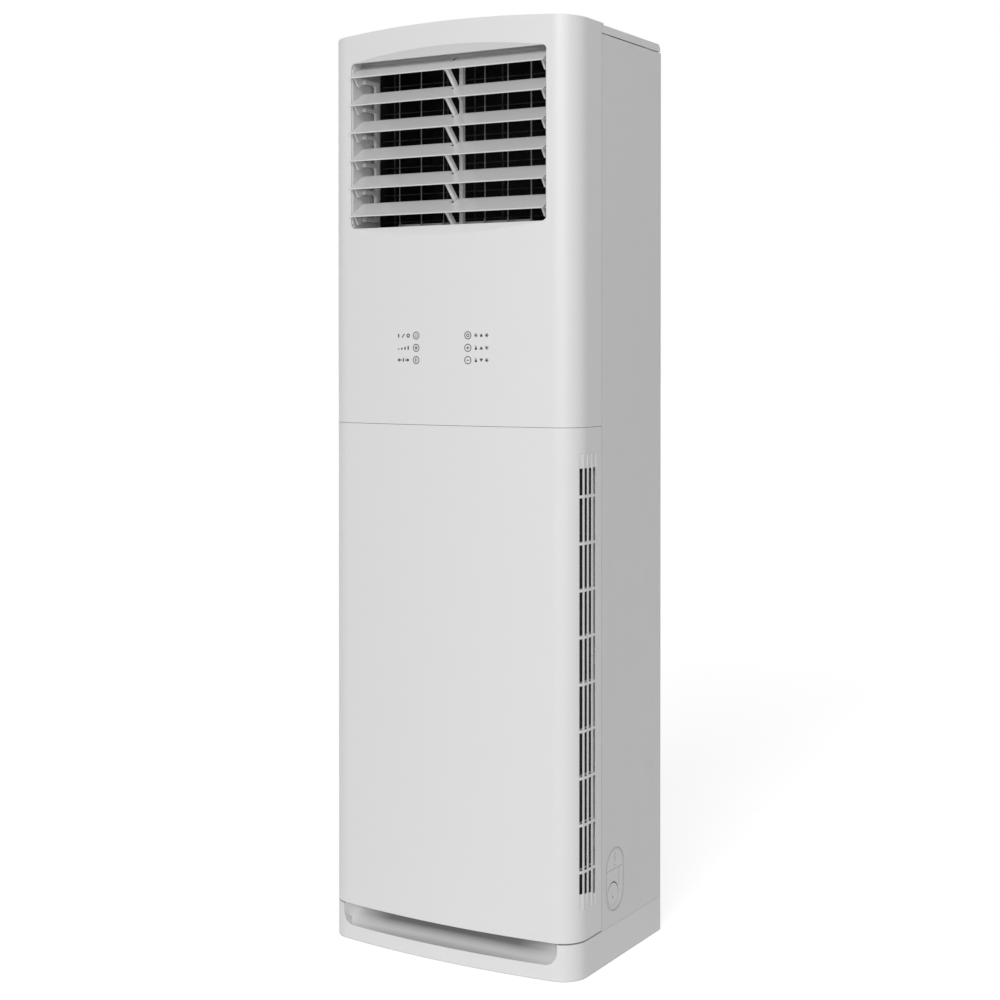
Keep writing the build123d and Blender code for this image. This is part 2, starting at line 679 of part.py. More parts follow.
def outlet_frame():
    """White throat behind the rim, with bearings for the louvers and vanes."""
    low, high, wall = THROAT_LOW, THROAT_HIGH, THROAT_WALL
    side = THROAT_HALF + wall
    lip_y = RIM_Y + RIM_DEPTH + 1
    throat = side_slab(throat_section(wall, THROAT_FRONT_Y, THROAT_BACK_Y), -side, side)
    throat -= side_slab(throat_section(0, FRONT_Y, 0), -THROAT_HALF, THROAT_HALF)
    throat -= box(-HALF, HALF, FRONT_Y, lip_y, OUTLET_HIGH - OUTLET_CORNER, LOUVER_ROOM_HIGH + 9)
    throat -= box(-HALF, HALF, FRONT_Y, lip_y, low - 9, OUTLET_LOW + OUTLET_CORNER)
    throat += box(-THROAT_HALF, THROAT_HALF, lip_y, lip_y + 2, OUTLET_HIGH + 2, LOUVER_ROOM_HIGH)
    bearings = []
    for index in range(LOUVER_COUNT):
        z = louver_edge_z(index) + PIVOT_UP
        bearings.append(rod_x(-HALF, HALF, PIVOT_Y, z, PIN_RADIUS + RUNNING_FIT))
    bearings.append(rod_x(-HALF, 0, MOTOR_CRANK_Y, MOTOR_CRANK_Z, PIN_RADIUS + RUNNING_FIT))
    for x in VANE_COLUMNS:
        bearings.append(rod_z(x, VANE_Y, low - 9, high + 9, VANE_PIN_RADIUS + RUNNING_FIT))
    return throat - bearings


def louver_edge_z(index):
    """Height of a louver's lower front edge."""
    return LOUVER_EDGE_TOP_Z - index * LOUVER_PITCH


def support_post():
    """Fixed post in the middle of the outlet, with one forward arm for each louver."""
    post = box(-POST_HALF, POST_HALF, POST_FRONT_Y, POST_BACK_Y, THROAT_LOW, THROAT_HIGH)
    drop = POST_FRONT_Y - PIVOT_Y + 3
    half = ARM_RADIUS / math.sqrt(2)
    holes = []
    for index in range(LOUVER_COUNT):
        z = louver_edge_z(index) + PIVOT_UP
        reach = min(drop, z - THROAT_LOW - half)
        arm = side_slab(
            (
                (PIVOT_Y + half, z + half),
                (PIVOT_Y - half, z - half),
                (PIVOT_Y + reach - half, z - reach - half),
                (PIVOT_Y + drop, z - reach - half),
                (PIVOT_Y + drop, z - reach + half),
                (PIVOT_Y + reach + half, z - reach + half),
            ),
            -ARM_HALF,
            ARM_HALF,
        )
        post += arm
        post += rod_x(-ARM_HALF, ARM_HALF, PIVOT_Y, z, ARM_RADIUS)
        holes.append(rod_x(-HALF, HALF, PIVOT_Y, z, CENTRE_PIN_RADIUS + RUNNING_FIT))
    return post - holes


def louver_end_plate():
    """Plate under a blade's end: it carries the pivot pin and the crank."""
    roof = BLADE_THICK / 2
    return (
        (8.5, 2.0),
        (21.0, -14.5),
        (25.5, -15.0),
        (30.5, -11.0),
        (CRANK_BACK, CRANK_UP - 6.0),
        (CRANK_BACK + 6.0, CRANK_UP),
        (CRANK_BACK + 4.0, (CRANK_BACK + 4.0) * BLADE_SLOPE + roof),
        (8.5, 8.5 * BLADE_SLOPE + roof),
    )


def louver():
    """One louver, with its lower front edge on the X axis."""
    blade = box(-BLADE_HALF, BLADE_HALF, 0, BLADE_CHORD, 0, BLADE_THICK)
    blade += rod_x(-BLADE_HALF, BLADE_HALF, 0, BLADE_THICK / 2, BLADE_THICK / 2)
    blade -= box(-NOTCH_HALF, NOTCH_HALF, BLADE_CHORD - NOTCH_DEPTH, BLADE_CHORD + 1, -1, BLADE_THICK + 1)
    blade = Rot(BLADE_TILT, 0, 0) * blade
    roof = BLADE_THICK / 2
    end_plate = side_slab(louver_end_plate(), PLATE_INNER, PLATE_OUTER)
    end_pin = rod_x(PLATE_OUTER - 1, THROAT_HALF + THROAT_WALL - 0.4, PIVOT_BACK, PIVOT_UP, PIN_RADIUS)
    cheek = side_slab(
        (
            (PIVOT_BACK - 3.6, PIVOT_UP),
            (PIVOT_BACK - 3.6, (PIVOT_BACK - 3.6) * BLADE_SLOPE + roof),
            (PIVOT_BACK + 3.6, (PIVOT_BACK + 3.6) * BLADE_SLOPE + roof),
            (PIVOT_BACK + 3.6, PIVOT_UP),
        ),
        ARM_HALF + 0.5,
        ARM_HALF + 3.0,
    )
    cheek += rod_x(ARM_HALF + 0.5, ARM_HALF + 3.0, PIVOT_BACK, PIVOT_UP, 3.6)
    body = blade + both_sides(end_plate + end_pin + cheek)
    body += rod_x(-ARM_HALF - 1, ARM_HALF + 1, PIVOT_BACK, PIVOT_UP, CENTRE_PIN_RADIUS)
    body += rod_x(-PLATE_INNER - 1, 0.5 - LINK_INNER, CRANK_BACK, CRANK_UP, CRANK_PIN_RADIUS)
    return body + rod_x(0.3 - LINK_INNER, 2.3 - LINK_INNER, CRANK_BACK, CRANK_UP, 3.8)


def louver_link_bar():
    """Upright bar that joins the six cranks, with a hook forward to each crank pin."""
    top = louver_edge_z(0) + CRANK_UP
    bottom = louver_edge_z(LOUVER_COUNT - 1) + CRANK_UP
    bar = box(-LINK_OUTER, -LINK_INNER, LINK_FRONT_Y, LINK_BACK_Y, bottom - 4, top + 4)
    holes = []
    for index in range(LOUVER_COUNT):
        z = louver_edge_z(index) + CRANK_UP
        bar += box(-LINK_OUTER, -LINK_INNER, CRANK_Y, LINK_FRONT_Y + 1, z - 4, z + 4)
        bar += rod_x(-LINK_OUTER, -LINK_INNER, CRANK_Y, z, 5.2)
        holes.append(rod_x(-HALF, 0, CRANK_Y, z, CRANK_PIN_RADIUS + RUNNING_FIT))
    motor_z = MOTOR_CRANK_Z + CRANK_UP - PIVOT_UP
    motor_y = MOTOR_CRANK_Y + CRANK_BACK - PIVOT_BACK
    holes.append(rod_x(-HALF, 0, motor_y, motor_z, CRANK_PIN_RADIUS + RUNNING_FIT))
    uprights = bar.edges().filter_by(Axis.X)
    inner = uprights.filter_by_position(Axis.Y, LINK_FRONT_Y - 0.1, LINK_FRONT_Y + 0.1)
    below_hooks = [edge for edge in inner if corner_below_hook(edge.center().Z)]
    return fillet(below_hooks, radius=6) - holes


def corner_below_hook(z):
    """Whether a height is that of the corner under one of the hooks but the lowest."""
    corners = [louver_edge_z(index) + CRANK_UP - 4 for index in range(LOUVER_COUNT - 1)]
    return any(abs(z - corner) < 0.1 for corner in corners)


def louver_motor_crank():
    """Crank on the louver motor's shaft, parallel to the louvers' own cranks."""
    y, z = MOTOR_CRANK_Y, MOTOR_CRANK_Z
    pin_y = y + CRANK_BACK - PIVOT_BACK
    pin_z = z + CRANK_UP - PIVOT_UP
    outer, inner = 0.8 - THROAT_HALF, 3.8 - THROAT_HALF
    arm = box(outer, inner, 0, math.hypot(pin_y - y, pin_z - z), -4, 4)
    tilt = math.degrees(math.atan2(pin_z - z, pin_y - y))
    crank = Pos(0, y, z) * Rot(tilt, 0, 0) * arm
    crank += rod_x(outer, inner, y, z, 5)
    crank += rod_x(outer, inner, pin_y, pin_z, 4)
    crank += rod_x(0.4 - THROAT_HALF - THROAT_WALL, outer, y, z, PIN_RADIUS)
    return crank + rod_x(inner, -LINK_INNER, pin_y, pin_z, CRANK_PIN_RADIUS)


def vane():
    """One vertical vane about its pivot at the origin of the plan, square to the front."""
    blade = box(-VANE_THICK / 2, VANE_THICK / 2, -VANE_FRONT, VANE_BACK, VANE_LOW, VANE_HIGH)
    blade -= box(-5, 5, VANE_CRANK - 7, VANE_BACK + 1, VANE_LOW - 1, VANE_ROD_HIGH + 4)
    end = THROAT_WALL - 0.4
    blade += rod_z(0, 0, THROAT_LOW - end, VANE_LOW + VANE_PIN_LENGTH, VANE_PIN_RADIUS)
    blade += rod_z(0, 0, VANE_HIGH - VANE_PIN_LENGTH, THROAT_HIGH + end, VANE_PIN_RADIUS)
    return blade + rod_z(0, VANE_CRANK, VANE_ROD_LOW - 1.5, VANE_ROD_HIGH + 5, VANE_CRANK_PIN_RADIUS)


def vane_at(x):
    """A vane in its place, turned to its rest angle."""
    return Pos(x, VANE_Y, 0) * Rot(0, 0, VANE_TURN) * vane()


def vane_link_rod():
    """Flat rod that joins the cranks of the six vanes."""
    turn = math.radians(VANE_TURN)
    shift_x = -VANE_CRANK * math.sin(turn)
    y = VANE_Y + VANE_CRANK * math.cos(turn)
    x0, x1 = VANE_COLUMNS[0] + shift_x, VANE_COLUMNS[-1] + shift_x
    rod = box(x0, x1, y - 3.5, y + 3.5, VANE_ROD_LOW, VANE_ROD_HIGH)
    for x in (x0, x1):
        rod += rod_z(x, y, VANE_ROD_LOW, VANE_ROD_HIGH, 3.5)
    hole = VANE_CRANK_PIN_RADIUS + RUNNING_FIT
    return rod - [rod_z(x + shift_x, y, 0, HEIGHT, hole) for x in VANE_COLUMNS]


def air_duct_liner():
    """Black foam duct from the evaporator up and forward to the outlet."""
    side, thick, front, back = LINER_HALF, LINER_THICK, LINER_FRONT_Y, LINER_BACK_Y
    low, high = LINER_LOW, LINER_HIGH
    liner = box(-side - thick, side + thick, front, back, low, high + thick)
    liner -= box(-side, side, front + thick, back - thick, low - 1, high)
    liner -= box(-side, side, back - thick - 1, back + 1, low - 1, LINER_BACK_LOW)
    neck = THROAT_HALF + thick
    liner += box(-neck, neck, THROAT_BACK_Y, front + 1, THROAT_LOW - thick, THROAT_HIGH + thick)
    return liner - box(-THROAT_HALF, THROAT_HALF, THROAT_BACK_Y - 1, front + 9, THROAT_LOW, THROAT_HIGH)


def outlet_guard():
    """Black safety grid behind the vanes: level wires in front of upright bars."""
    half = GUARD_WIRE / 2
    grid = []
    for index in range(GUARD_ROWS):
        z = THROAT_LOW + GUARD_FIRST_ROW + index * GUARD_ROW_PITCH
        grid.append(rod_x(-THROAT_HALF, THROAT_HALF, GUARD_Y, z, half))
    for index in range(GUARD_COLUMNS):
        x = (index - (GUARD_COLUMNS - 1) / 2) * GUARD_COLUMN_PITCH
        grid.append(box(x - half, x + half, GUARD_Y, GUARD_Y + 3.5, THROAT_LOW, THROAT_HIGH))
    return Part() + grid


def stepper_motor():
    """Small round stepper motor on the floor of the plan, its face down, with two ears."""
    can = Pos(0, 0, MOTOR_LENGTH / 2) * Cylinder(MOTOR_RADIUS, MOTOR_LENGTH)
    ears = Pos(0, 0, 1) * Box(42, 9, 2)
    socket = Pos(0, MOTOR_RADIUS, MOTOR_LENGTH / 2) * Box(15, 8, MOTOR_LENGTH - 2)
    return can + ears + socket


def louver_motor():
    """Stepper on the left of the outlet frame that turns the louvers' crank."""
    face_x = -THROAT_HALF - THROAT_WALL
    return Pos(face_x, MOTOR_CRANK_Y, MOTOR_CRANK_Z) * Rot(0, -90, 0) * stepper_motor()


def vane_motor():
    """Stepper under the outlet frame, on the first vane's pivot."""
    face_z = THROAT_LOW - THROAT_WALL
    return Pos(VANE_COLUMNS[0], VANE_Y, face_z) * Rot(180, 0, 0) * stepper_motor()


# ---- fan ----
def clock_point(x, z, radius, degrees):
    """Point of a circle in the front view, at an angle clockwise from the top."""
    turn = math.radians(degrees)
    return (x + radius * math.sin(turn), z + radius * math.cos(turn))


def clock_arc(x, z, radius, start, end):
    """Arc of a circle in the front view, between two angles clockwise from the top."""
    angles = (start, (start + end) / 2, end)
    return ThreePointArc(*[clock_point(x, z, radius, angle) for angle in angles])


def volute_face(grow):
    """Spiral housing outline in the front view, about the fan axis, grown by a wall."""
    radii = [radius + grow for radius in SCROLL_RADII]
    near, far = SCROLL_X - SCROLL_STEP, SCROLL_X
    top = DECK_Z - FAN_Z
    open_x = far + radii[0]
    tip = clock_point(near, 0, radii[3], SCROLL_CUTOFF)
    neck_x = tip[0] - 2 * grow
    path = Line((open_x, top), (open_x, 0))
    path += clock_arc(far, 0, radii[0], 90, 180)
    path += clock_arc(far, -SCROLL_STEP, radii[1], 180, 270)
    path += clock_arc(near, -SCROLL_STEP, radii[2], 270, 360)
    path += clock_arc(near, 0, radii[3], 0, SCROLL_CUTOFF)
    path += Polyline(tip, (neck_x, tip[1] + 12), (neck_x, top), (open_x, top))
    return Pos(0, FAN_Z) * make_face(path)


def volute(grow, y0, y1):
    """Spiral block between two depths."""
    return front_slab(volute_face(grow), y0, y1)


def scroll_housing():
    """Sheet-metal spiral round the impeller, open to the inlet and the deck, on two feet."""
    y0, y1 = SCROLL_FRONT_Y + SCROLL_WALL, SCROLL_BACK_Y - SCROLL_WALL
    left, right = SCROLL_X - SCROLL_FOOT_HALF, SCROLL_X + SCROLL_FOOT_HALF
    feet = []
    for y in (SCROLL_FRONT_Y + 8, SCROLL_BACK_Y - 12):
        feet.append(box(left, right, y, y + 2, PAN_FLOOR, FAN_Z - 140))
        feet.append(box(left, right, y, y + 22, PAN_FLOOR, PAN_FLOOR + 2))
    housing = volute(SCROLL_WALL, SCROLL_FRONT_Y, SCROLL_BACK_Y) + feet
    housing -= volute(0, y0, y1)
    housing -= box(SCROLL_CUTOFF_X, SCROLL_OPEN_X, y0, y1, DECK_Z - 9, DECK_Z + 9)
    eye = INLET_RADIUS + INLET_FLARE
    housing -= rod_y(0, SCROLL_FRONT_Y - 1, SCROLL_FRONT_Y + 9, FAN_Z, eye)
    return housing - rod_y(0, SCROLL_BACK_Y - 9, SCROLL_BACK_Y + 1, FAN_Z, SCROLL_REAR_HOLE)


def fan_inlet_ring():
    """Bell mouth on the front of the spiral housing."""
    face_y = SCROLL_FRONT_Y
    flange = rod_y(0, face_y - 2, face_y, FAN_Z, INLET_RADIUS + INLET_FLARE + 14)
    neck = rod_y(0, face_y - 2, face_y + 9, FAN_Z, INLET_RADIUS + 3)
    collar = rod_y(0, face_y - 12, face_y, FAN_Z, INLET_RADIUS + INLET_FLARE + 2)
    flare = Cone(INLET_RADIUS, INLET_RADIUS + INLET_FLARE, 14)
    mouth = Pos(0, face_y - 6, FAN_Z) * Rot(90, 0, 0) * flare
    bore = rod_y(0, face_y - 20, face_y + 20, FAN_Z, INLET_RADIUS)
    return flange + neck + collar - mouth - bore


def fan_blade():
    """One curved blade on the right of the fan axis, from the back disc to the front ring."""
    sheet = Circle(BLADE_CURVE + BLADE_SHEET / 2) - Circle(BLADE_CURVE - BLADE_SHEET / 2)
    tip = IMPELLER_RADIUS - 2
    zone = Pos((BLADE_ROOT + tip) / 2, BLADE_CURVE / 2) * Rectangle(tip - BLADE_ROOT, BLADE_CURVE + 1)
    outline = (Pos(BLADE_ROOT, BLADE_CURVE) * sheet) & zone
    length = IMPELLER_BACK_Y - IMPELLER_FRONT_Y - 2
    return Pos(0, IMPELLER_BACK_Y - 1, FAN_Z) * Rot(90, 0, 0) * extrude(outline, amount=length)


def fan_impeller():
    """Forward-curved wheel: blades between a back disc and a front ring, with a hub."""
    y0, y1 = IMPELLER_FRONT_Y, IMPELLER_BACK_Y
    wheel = rod_y(0, y1 - IMPELLER_DISC, y1, FAN_Z, IMPELLER_RADIUS)
    ring = rod_y(0, y0, y0 + 6, FAN_Z, IMPELLER_RADIUS)
    wheel += ring - rod_y(0, y0 - 1, y0 + 7, FAN_Z, IMPELLER_RADIUS - IMPELLER_RING)
    wheel += rod_y(0, y1 - HUB_LENGTH, y1, FAN_Z, HUB_RADIUS)
    blade = fan_blade()
    for index in range(FAN_BLADES):
        turn = Rot(0, 360 / FAN_BLADES * index, 0)
        wheel += Pos(0, 0, FAN_Z) * turn * Pos(0, 0, -FAN_Z) * blade
    return wheel - rod_y(0, y1 - HUB_LENGTH - 1, y1 + 1, FAN_Z, SHAFT_RADIUS)


def fan_shaft():
    """Motor shaft, turned down to a thread at the front end."""
    shoulder = IMPELLER_BACK_Y - HUB_LENGTH
    shaft = rod_y(0, shoulder, SCROLL_BACK_Y + MOTOR_GAP + 30, FAN_Z, SHAFT_RADIUS)
    return shaft + rod_y(0, shoulder - THREAD_LENGTH, shoulder, FAN_Z, THREAD_RADIUS)


def impeller_nut():
    """Hexagon nut that holds the wheel on its shaft."""
    back = IMPELLER_BACK_Y - HUB_LENGTH
    hexagon = Plane.XZ.offset(-back) * Pos(0, FAN_Z) * RegularPolygon(NUT_RADIUS, 6)
    nut = extrude(hexagon, amount=NUT_THICK)
    return nut - rod_y(0, back - NUT_THICK - 1, back + 1, FAN_Z, THREAD_RADIUS + 0.05)


def fan_motor():
    """Closed motor behind the spiral, with cooling ribs and a shaft bore."""
    y0 = SCROLL_BACK_Y + MOTOR_GAP
    y1 = y0 + FAN_MOTOR_LENGTH
    motor = rod_y(0, y0, y1, FAN_Z, FAN_MOTOR_RADIUS)
    motor += rod_y(0, y0 + 26, y0 + 32, FAN_Z, FAN_MOTOR_FLANGE)
    cap = rod_y(0, y0, y1 + 9, FAN_Z, FAN_MOTOR_RADIUS - 4)
    for index in range(MOTOR_RIBS):
        z = FAN_Z + (index - (MOTOR_RIBS - 1) / 2) * MOTOR_RIB_PITCH
        motor += box(-FAN_MOTOR_RADIUS, FAN_MOTOR_RADIUS, y1 - 1, y1 + 4, z - 2, z + 2) & cap
    return motor - rod_y(0, y0 - 1, y0 + 34, FAN_Z, SHAFT_RADIUS + RUNNING_FIT)


def motor_bracket():
    """Three-armed bracket that holds the motor's flange to the back of the spiral."""
    y0 = SCROLL_BACK_Y
    ring_y = y0 + MOTOR_GAP + 32
    bracket = rod_y(0, ring_y, ring_y + 3, FAN_Z, BRACKET_RING)
    bracket -= rod_y(0, ring_y - 1, ring_y + 4, FAN_Z, FAN_MOTOR_RADIUS + 0.3)
    arm = box(-12, 12, y0, ring_y + 3, BRACKET_RING - 4, BRACKET_RING)
    arm += box(-12, 12, y0, y0 + 2.5, BRACKET_RING - 4, BRACKET_REACH)
    for index in range(3):
        bracket += Pos(0, 0, FAN_Z) * Rot(0, 120 * index, 0) * arm
    return bracket


def fan_deck():
    """Partition over the fan, with the air opening and holes for the pipes and the drain."""
    half = SHEET_FACE - 0.3
    z0, z1 = DECK_Z - 1, DECK_Z + DECK_THICK + 1
    deck = box(-half, half, SHEET_FRONT_Y + 6, SHEET_BACK_Y - 6, DECK_Z, DECK_Z + DECK_THICK)
    deck -= box(SCROLL_CUTOFF_X, SCROLL_OPEN_X, PAN_BACK_Y + 2, SCROLL_BACK_Y - 2, z0, z1)
    deck -= box(LIQUID_X - 9, GAS_X + 12, GAS_Y - 12, LIQUID_Y + 12, z0, z1)
    return deck - rod_z(DRAIN_X, DRAIN_Y, z0, z1, DRAIN_RADIUS + 5)


# ---- evaporator ----
def on_coil(shape):
    """Put a shape drawn on an upright coil onto the leaning one."""
    return Pos(0, COIL_FOOT_Y, COIL_FOOT_Z) * Rot(-COIL_LEAN, 0, 0) * shape


def coil_point(x, y, z):
    """World place of a point on the upright coil."""
    lean = math.radians(COIL_LEAN)
    world_y = COIL_FOOT_Y + y * math.cos(lean) + z * math.sin(lean)
    world_z = COIL_FOOT_Z - y * math.sin(lean) + z * math.cos(lean)
    return (x, world_y, world_z)


def tube_height(row):
    """Height of a row of tubes on the upright coil."""
    return TUBE_FIRST + row * TUBE_PITCH


def tube_holes(radius):
    """Bars in the place of every tube."""
    rows = range(TUBE_ROWS)
    offsets = (-TUBE_OFFSET, TUBE_OFFSET)
    return [rod_x(-HALF, HALF, y, tube_height(row), radius) for row in rows for y in offsets]


def evaporator_fins():
    """Fin pack: a block parted into packets by shallow grooves, bored for the tubes."""
    half = COIL_THICK / 2
    pack = box(-COIL_HALF, COIL_HALF, -half, half, 4, COIL_LENGTH)
    grooves = []
    for index in range(1, round(2 * COIL_HALF / FIN_PACKET)):
        x = -COIL_HALF + index * FIN_PACKET
        grooves.append(box(x - 1, x + 1, -half - 1, 3 - half, 0, COIL_LENGTH + 1))
        grooves.append(box(x - 1, x + 1, half - 3, half + 1, 0, COIL_LENGTH + 1))
    return on_coil(pack - grooves - tube_holes(TUBE_RADIUS + TUBE_FIT))


def evaporator_end_plates():
    """Galvanised plates at both ends of the fin pack, with folded edges."""
    half = COIL_THICK / 2 + 8
    plate = box(COIL_HALF, COIL_HALF + 1.5, -half, half, 0, COIL_LENGTH + 4)
    plate += box(COIL_HALF, COIL_HALF + 14, half - 1.5, half, 0, COIL_LENGTH + 4)
    plate -= tube_holes(TUBE_RADIUS + TUBE_FIT)
    return on_coil(both_sides(plate))


def half_turn(bend, radius):
    """Half of a ring of tube, open to the -X side, in the XZ plane."""
    ring = Rot(90, 0, 0) * Torus(bend, radius)
    return ring & box(0, 3 * bend, -bend, bend, -3 * bend, 3 * bend)


def circuit(low, high, radius):
    """One circuit of round bar: out and back in both rows of tubes."""
    end = COIL_HALF + 5
    runs = []
    for y in (-TUBE_OFFSET, TUBE_OFFSET):
        runs.append(rod_x(-end, end, y, low, radius))
        runs.append(rod_x(-end, end, y, high, radius))
        runs.append(Pos(end, y, (low + high) / 2) * half_turn(TUBE_PITCH / 2, radius))
    runs.append(Pos(-end, 0, high) * Rot(0, 180, 0) * Rot(90, 0, 0) * half_turn(TUBE_OFFSET, radius))
    return Part() + runs


def evaporator_tubes():
    """Copper circuits of the coil, one for each pair of tube heights."""
    circuits = []
    for pair in range(TUBE_ROWS // 2):
        low, high = tube_height(2 * pair), tube_height(2 * pair + 1)
        bore = circuit(low, high, TUBE_RADIUS - TUBE_WALL)
        circuits.append(circuit(low, high, TUBE_RADIUS) - bore)
    return on_coil(Compound(children=circuits))


def route(points, bend, radius):
    """Pipe along straight runs joined by round bends."""
    path = FilletPolyline(*points, radius=bend)
    start = Plane(origin=path @ 0, z_dir=path % 0)
    return sweep(start * Circle(radius), path=path)


def gas_header():
    """Suction header up the coil's left end, and its pipe down to the service fitting."""
    x = GAS_X
    header = rod_z(x, TUBE_OFFSET, 8, tube_height(TUBE_ROWS - 1) + 6, GAS_HEADER_RADIUS)
    end = COIL_HALF + 5
    for pair in range(TUBE_ROWS // 2):
        header += rod_x(x, -end, TUBE_OFFSET, tube_height(2 * pair), TUBE_RADIUS)
    start = coil_point(x, TUBE_OFFSET, 60)
    points = (start, (x, GAS_Y, start[2]), (x, GAS_Y, STUB_Z))
    return on_coil(header) + route(points, 30, GAS_RADIUS)


def liquid_header():
    """Liquid header beside the suction header, and its thin pipe down."""
    x = LIQUID_HEADER_X
    header = rod_z(x, -TUBE_OFFSET, 8, tube_height(TUBE_ROWS - 1) + 6, LIQUID_HEADER_RADIUS)
    end = COIL_HALF + 5
    for pair in range(TUBE_ROWS // 2):
        header += rod_x(x, -end, -TUBE_OFFSET, tube_height(2 * pair), TUBE_RADIUS)
    start = coil_point(x, -TUBE_OFFSET, 40)
    y, z = start[1], start[2]
    points = (start, (LIQUID_X, y, z), (LIQUID_X, LIQUID_Y, z), (LIQUID_X, LIQUID_Y, STUB_Z))
    return on_coil(header) + route(points, 11, LIQUID_RADIUS)


def flare_fitting(x, y, radius):
    """Flare nut and threaded stub at the lower end of a pipe."""
    nut = Pos(x, y, STUB_Z - 26) * extrude(RegularPolygon(radius * 1.9, 6), amount=26)
    stub = rod_z(x, y, STUB_Z - 46, STUB_Z - 26, radius * 1.3)
    return nut + stub - rod_z(x, y, STUB_Z - 47, STUB_Z - 8, radius * 0.8)


def flare_fittings():
    """Flare fittings of the gas and the liquid pipe."""
    gas = flare_fitting(GAS_X, GAS_Y, GAS_RADIUS)
    return Compound(children=[gas, flare_fitting(LIQUID_X, LIQUID_Y, LIQUID_RADIUS)])


def drain_pan():
    """Foam-lined tray under the coil, low at the back, with a hole for the drain pipe."""
    y0, y1 = SHEET_FRONT_Y + 4, PAN_BACK_Y
    z0, z1 = DECK_Z + DECK_THICK, TRAY_HIGH
    inner = TRAY_HALF - 4
    middle = COIL_HALF + 15
    pan = box(-TRAY_HALF, TRAY_HALF, y0, y1, z0, z1)
    pan -= box(-inner, inner, y0 + 3, y1 - 3, z0 + 4, z1 + 1)
    pan -= box(-middle, middle, y1 - 4, y1 + 1, z0 + 20, z1 + 1)
    return pan - rod_y(DRAIN_X, y1 - 9, y1 + 9, z0 + DRAIN_RISE, DRAIN_RADIUS + 0.1)


def drain_pipe():
    """Drain pipe from the tray, back and down behind the spiral to the base."""
    z = DECK_Z + DECK_THICK + DRAIN_RISE
    points = ((DRAIN_X, PAN_BACK_Y - 3, z), (DRAIN_X, DRAIN_Y, z), (DRAIN_X, DRAIN_Y, DRAIN_END))
    bore = rod_z(DRAIN_X, DRAIN_Y, DRAIN_END - 5, DRAIN_END + 50, DRAIN_RADIUS - 2)
    return route(points, 24, DRAIN_RADIUS) - bore


# ---- electrics ----
def control_box():
    """Open steel box for the electrics, screwed to the front braces."""
    case = box(CONTROL_X0, CONTROL_X1, CONTROL_FRONT_Y, CONTROL_BACK_Y, CONTROL_LOW, CONTROL_HIGH)
    case -= box(
        CONTROL_X0 + SHEET, CONTROL_X1 - SHEET, CONTROL_FRONT_Y - 1, CONTROL_BACK_Y - SHEET,
        CONTROL_LOW + SHEET, CONTROL_HIGH - SHEET,
    )
    return case - rod_z(GLAND_X, GLAND_Y, CONTROL_LOW - 1, CONTROL_LOW + 2, GLAND_RADIUS + 0.4)


def control_box_lid():
    """Lid of the control box, with vent slots."""
    y0 = CONTROL_FRONT_Y - 1.2
    lid = box(CONTROL_X0 - 3, CONTROL_X1 + 3, y0, CONTROL_FRONT_Y, CONTROL_LOW - 3, CONTROL_HIGH + 3)
    slots = []
    for index in range(LID_SLOTS):
        x = CONTROL_X0 + 60 + index * LID_SLOT_PITCH
        slots.append(box(x, x + 6, y0 - 1, CONTROL_FRONT_Y + 1, CONTROL_HIGH - 60, CONTROL_HIGH - 20))
    return lid - slots


def main_board():
    """Control board on pillars, with relays, a transformer and connectors."""
    x0, x1, z0, z1 = MAIN_BOARD
    back = CONTROL_BACK_Y - SHEET
    face = back - 10
    front = face - 1.6
    board = box(x0, x1, front, face, z0, z1)
    for x in (x0 + 8, x1 - 8):
        for z in (z0 + 8, z1 - 8):
            board += rod_y(x, face, back, z, 4)
    board += box(x0 + 20, x0 + 65, front - 32, front, z1 - 60, z1 - 15)
    for index in range(4):
        relay_x = x0 + 80 + index * 28
        plug_x = x0 + 10 + index * 40
        board += box(relay_x, relay_x + 20, front - 16, front, z1 - 45, z1 - 18)
        board += box(plug_x, plug_x + 30, front - 8, front, z0 + 12, z0 + 22)
    return board + box(x0 + 110, x0 + 150, front - 3, front, z0 + 60, z0 + 100)


def terminal_block():
    """Mains terminal strip with its screws."""
    x0, x1, z0, z1 = TERMINALS
    back = CONTROL_BACK_Y - SHEET
    block = box(x0, x1, back - 22, back, z0, z1)
    for index in range(TERMINAL_COUNT):
        x = x0 + 10 + index * TERMINAL_PITCH
        block -= box(x - 7, x + 7, back - 23, back - 12, z0 + 4, z1 - 4)
        block += rod_y(x, back - 18, back - 11, (z0 + z1) / 2, 4)
    return block


def run_capacitor():
    """Motor capacitor, upright in the control box."""
    can = rod_z(CAPACITOR_X, CAPACITOR_Y, CONTROL_LOW + SHEET, CAPACITOR_TOP, CAPACITOR_RADIUS)
    for x in (CAPACITOR_X - 3, CAPACITOR_X + 3):
        can += box(x - 1.2, x + 1.2, CAPACITOR_Y - 3, CAPACITOR_Y + 3, CAPACITOR_TOP - 1, CAPACITOR_TOP + 10)
    return can


def display_board():
    """Touch board behind the printed keys, with a sensor pad for each key and a display."""
    board = box(-BOARD_HALF, BOARD_HALF, BOARD_Y, BOARD_Y + 1.6, BOARD_LOW, BOARD_HIGH)
    for x in (-KEY_COLUMN_X, KEY_COLUMN_X):
        for z in KEY_ROWS_Z:
            board += rod_y(x, BOARD_Y - 1.5, BOARD_Y + 0.5, z, 6)
    middle = (BOARD_LOW + BOARD_HIGH) / 2
    return board + box(-18, 18, BOARD_Y - 2, BOARD_Y + 0.5, middle - 10, middle + 10)


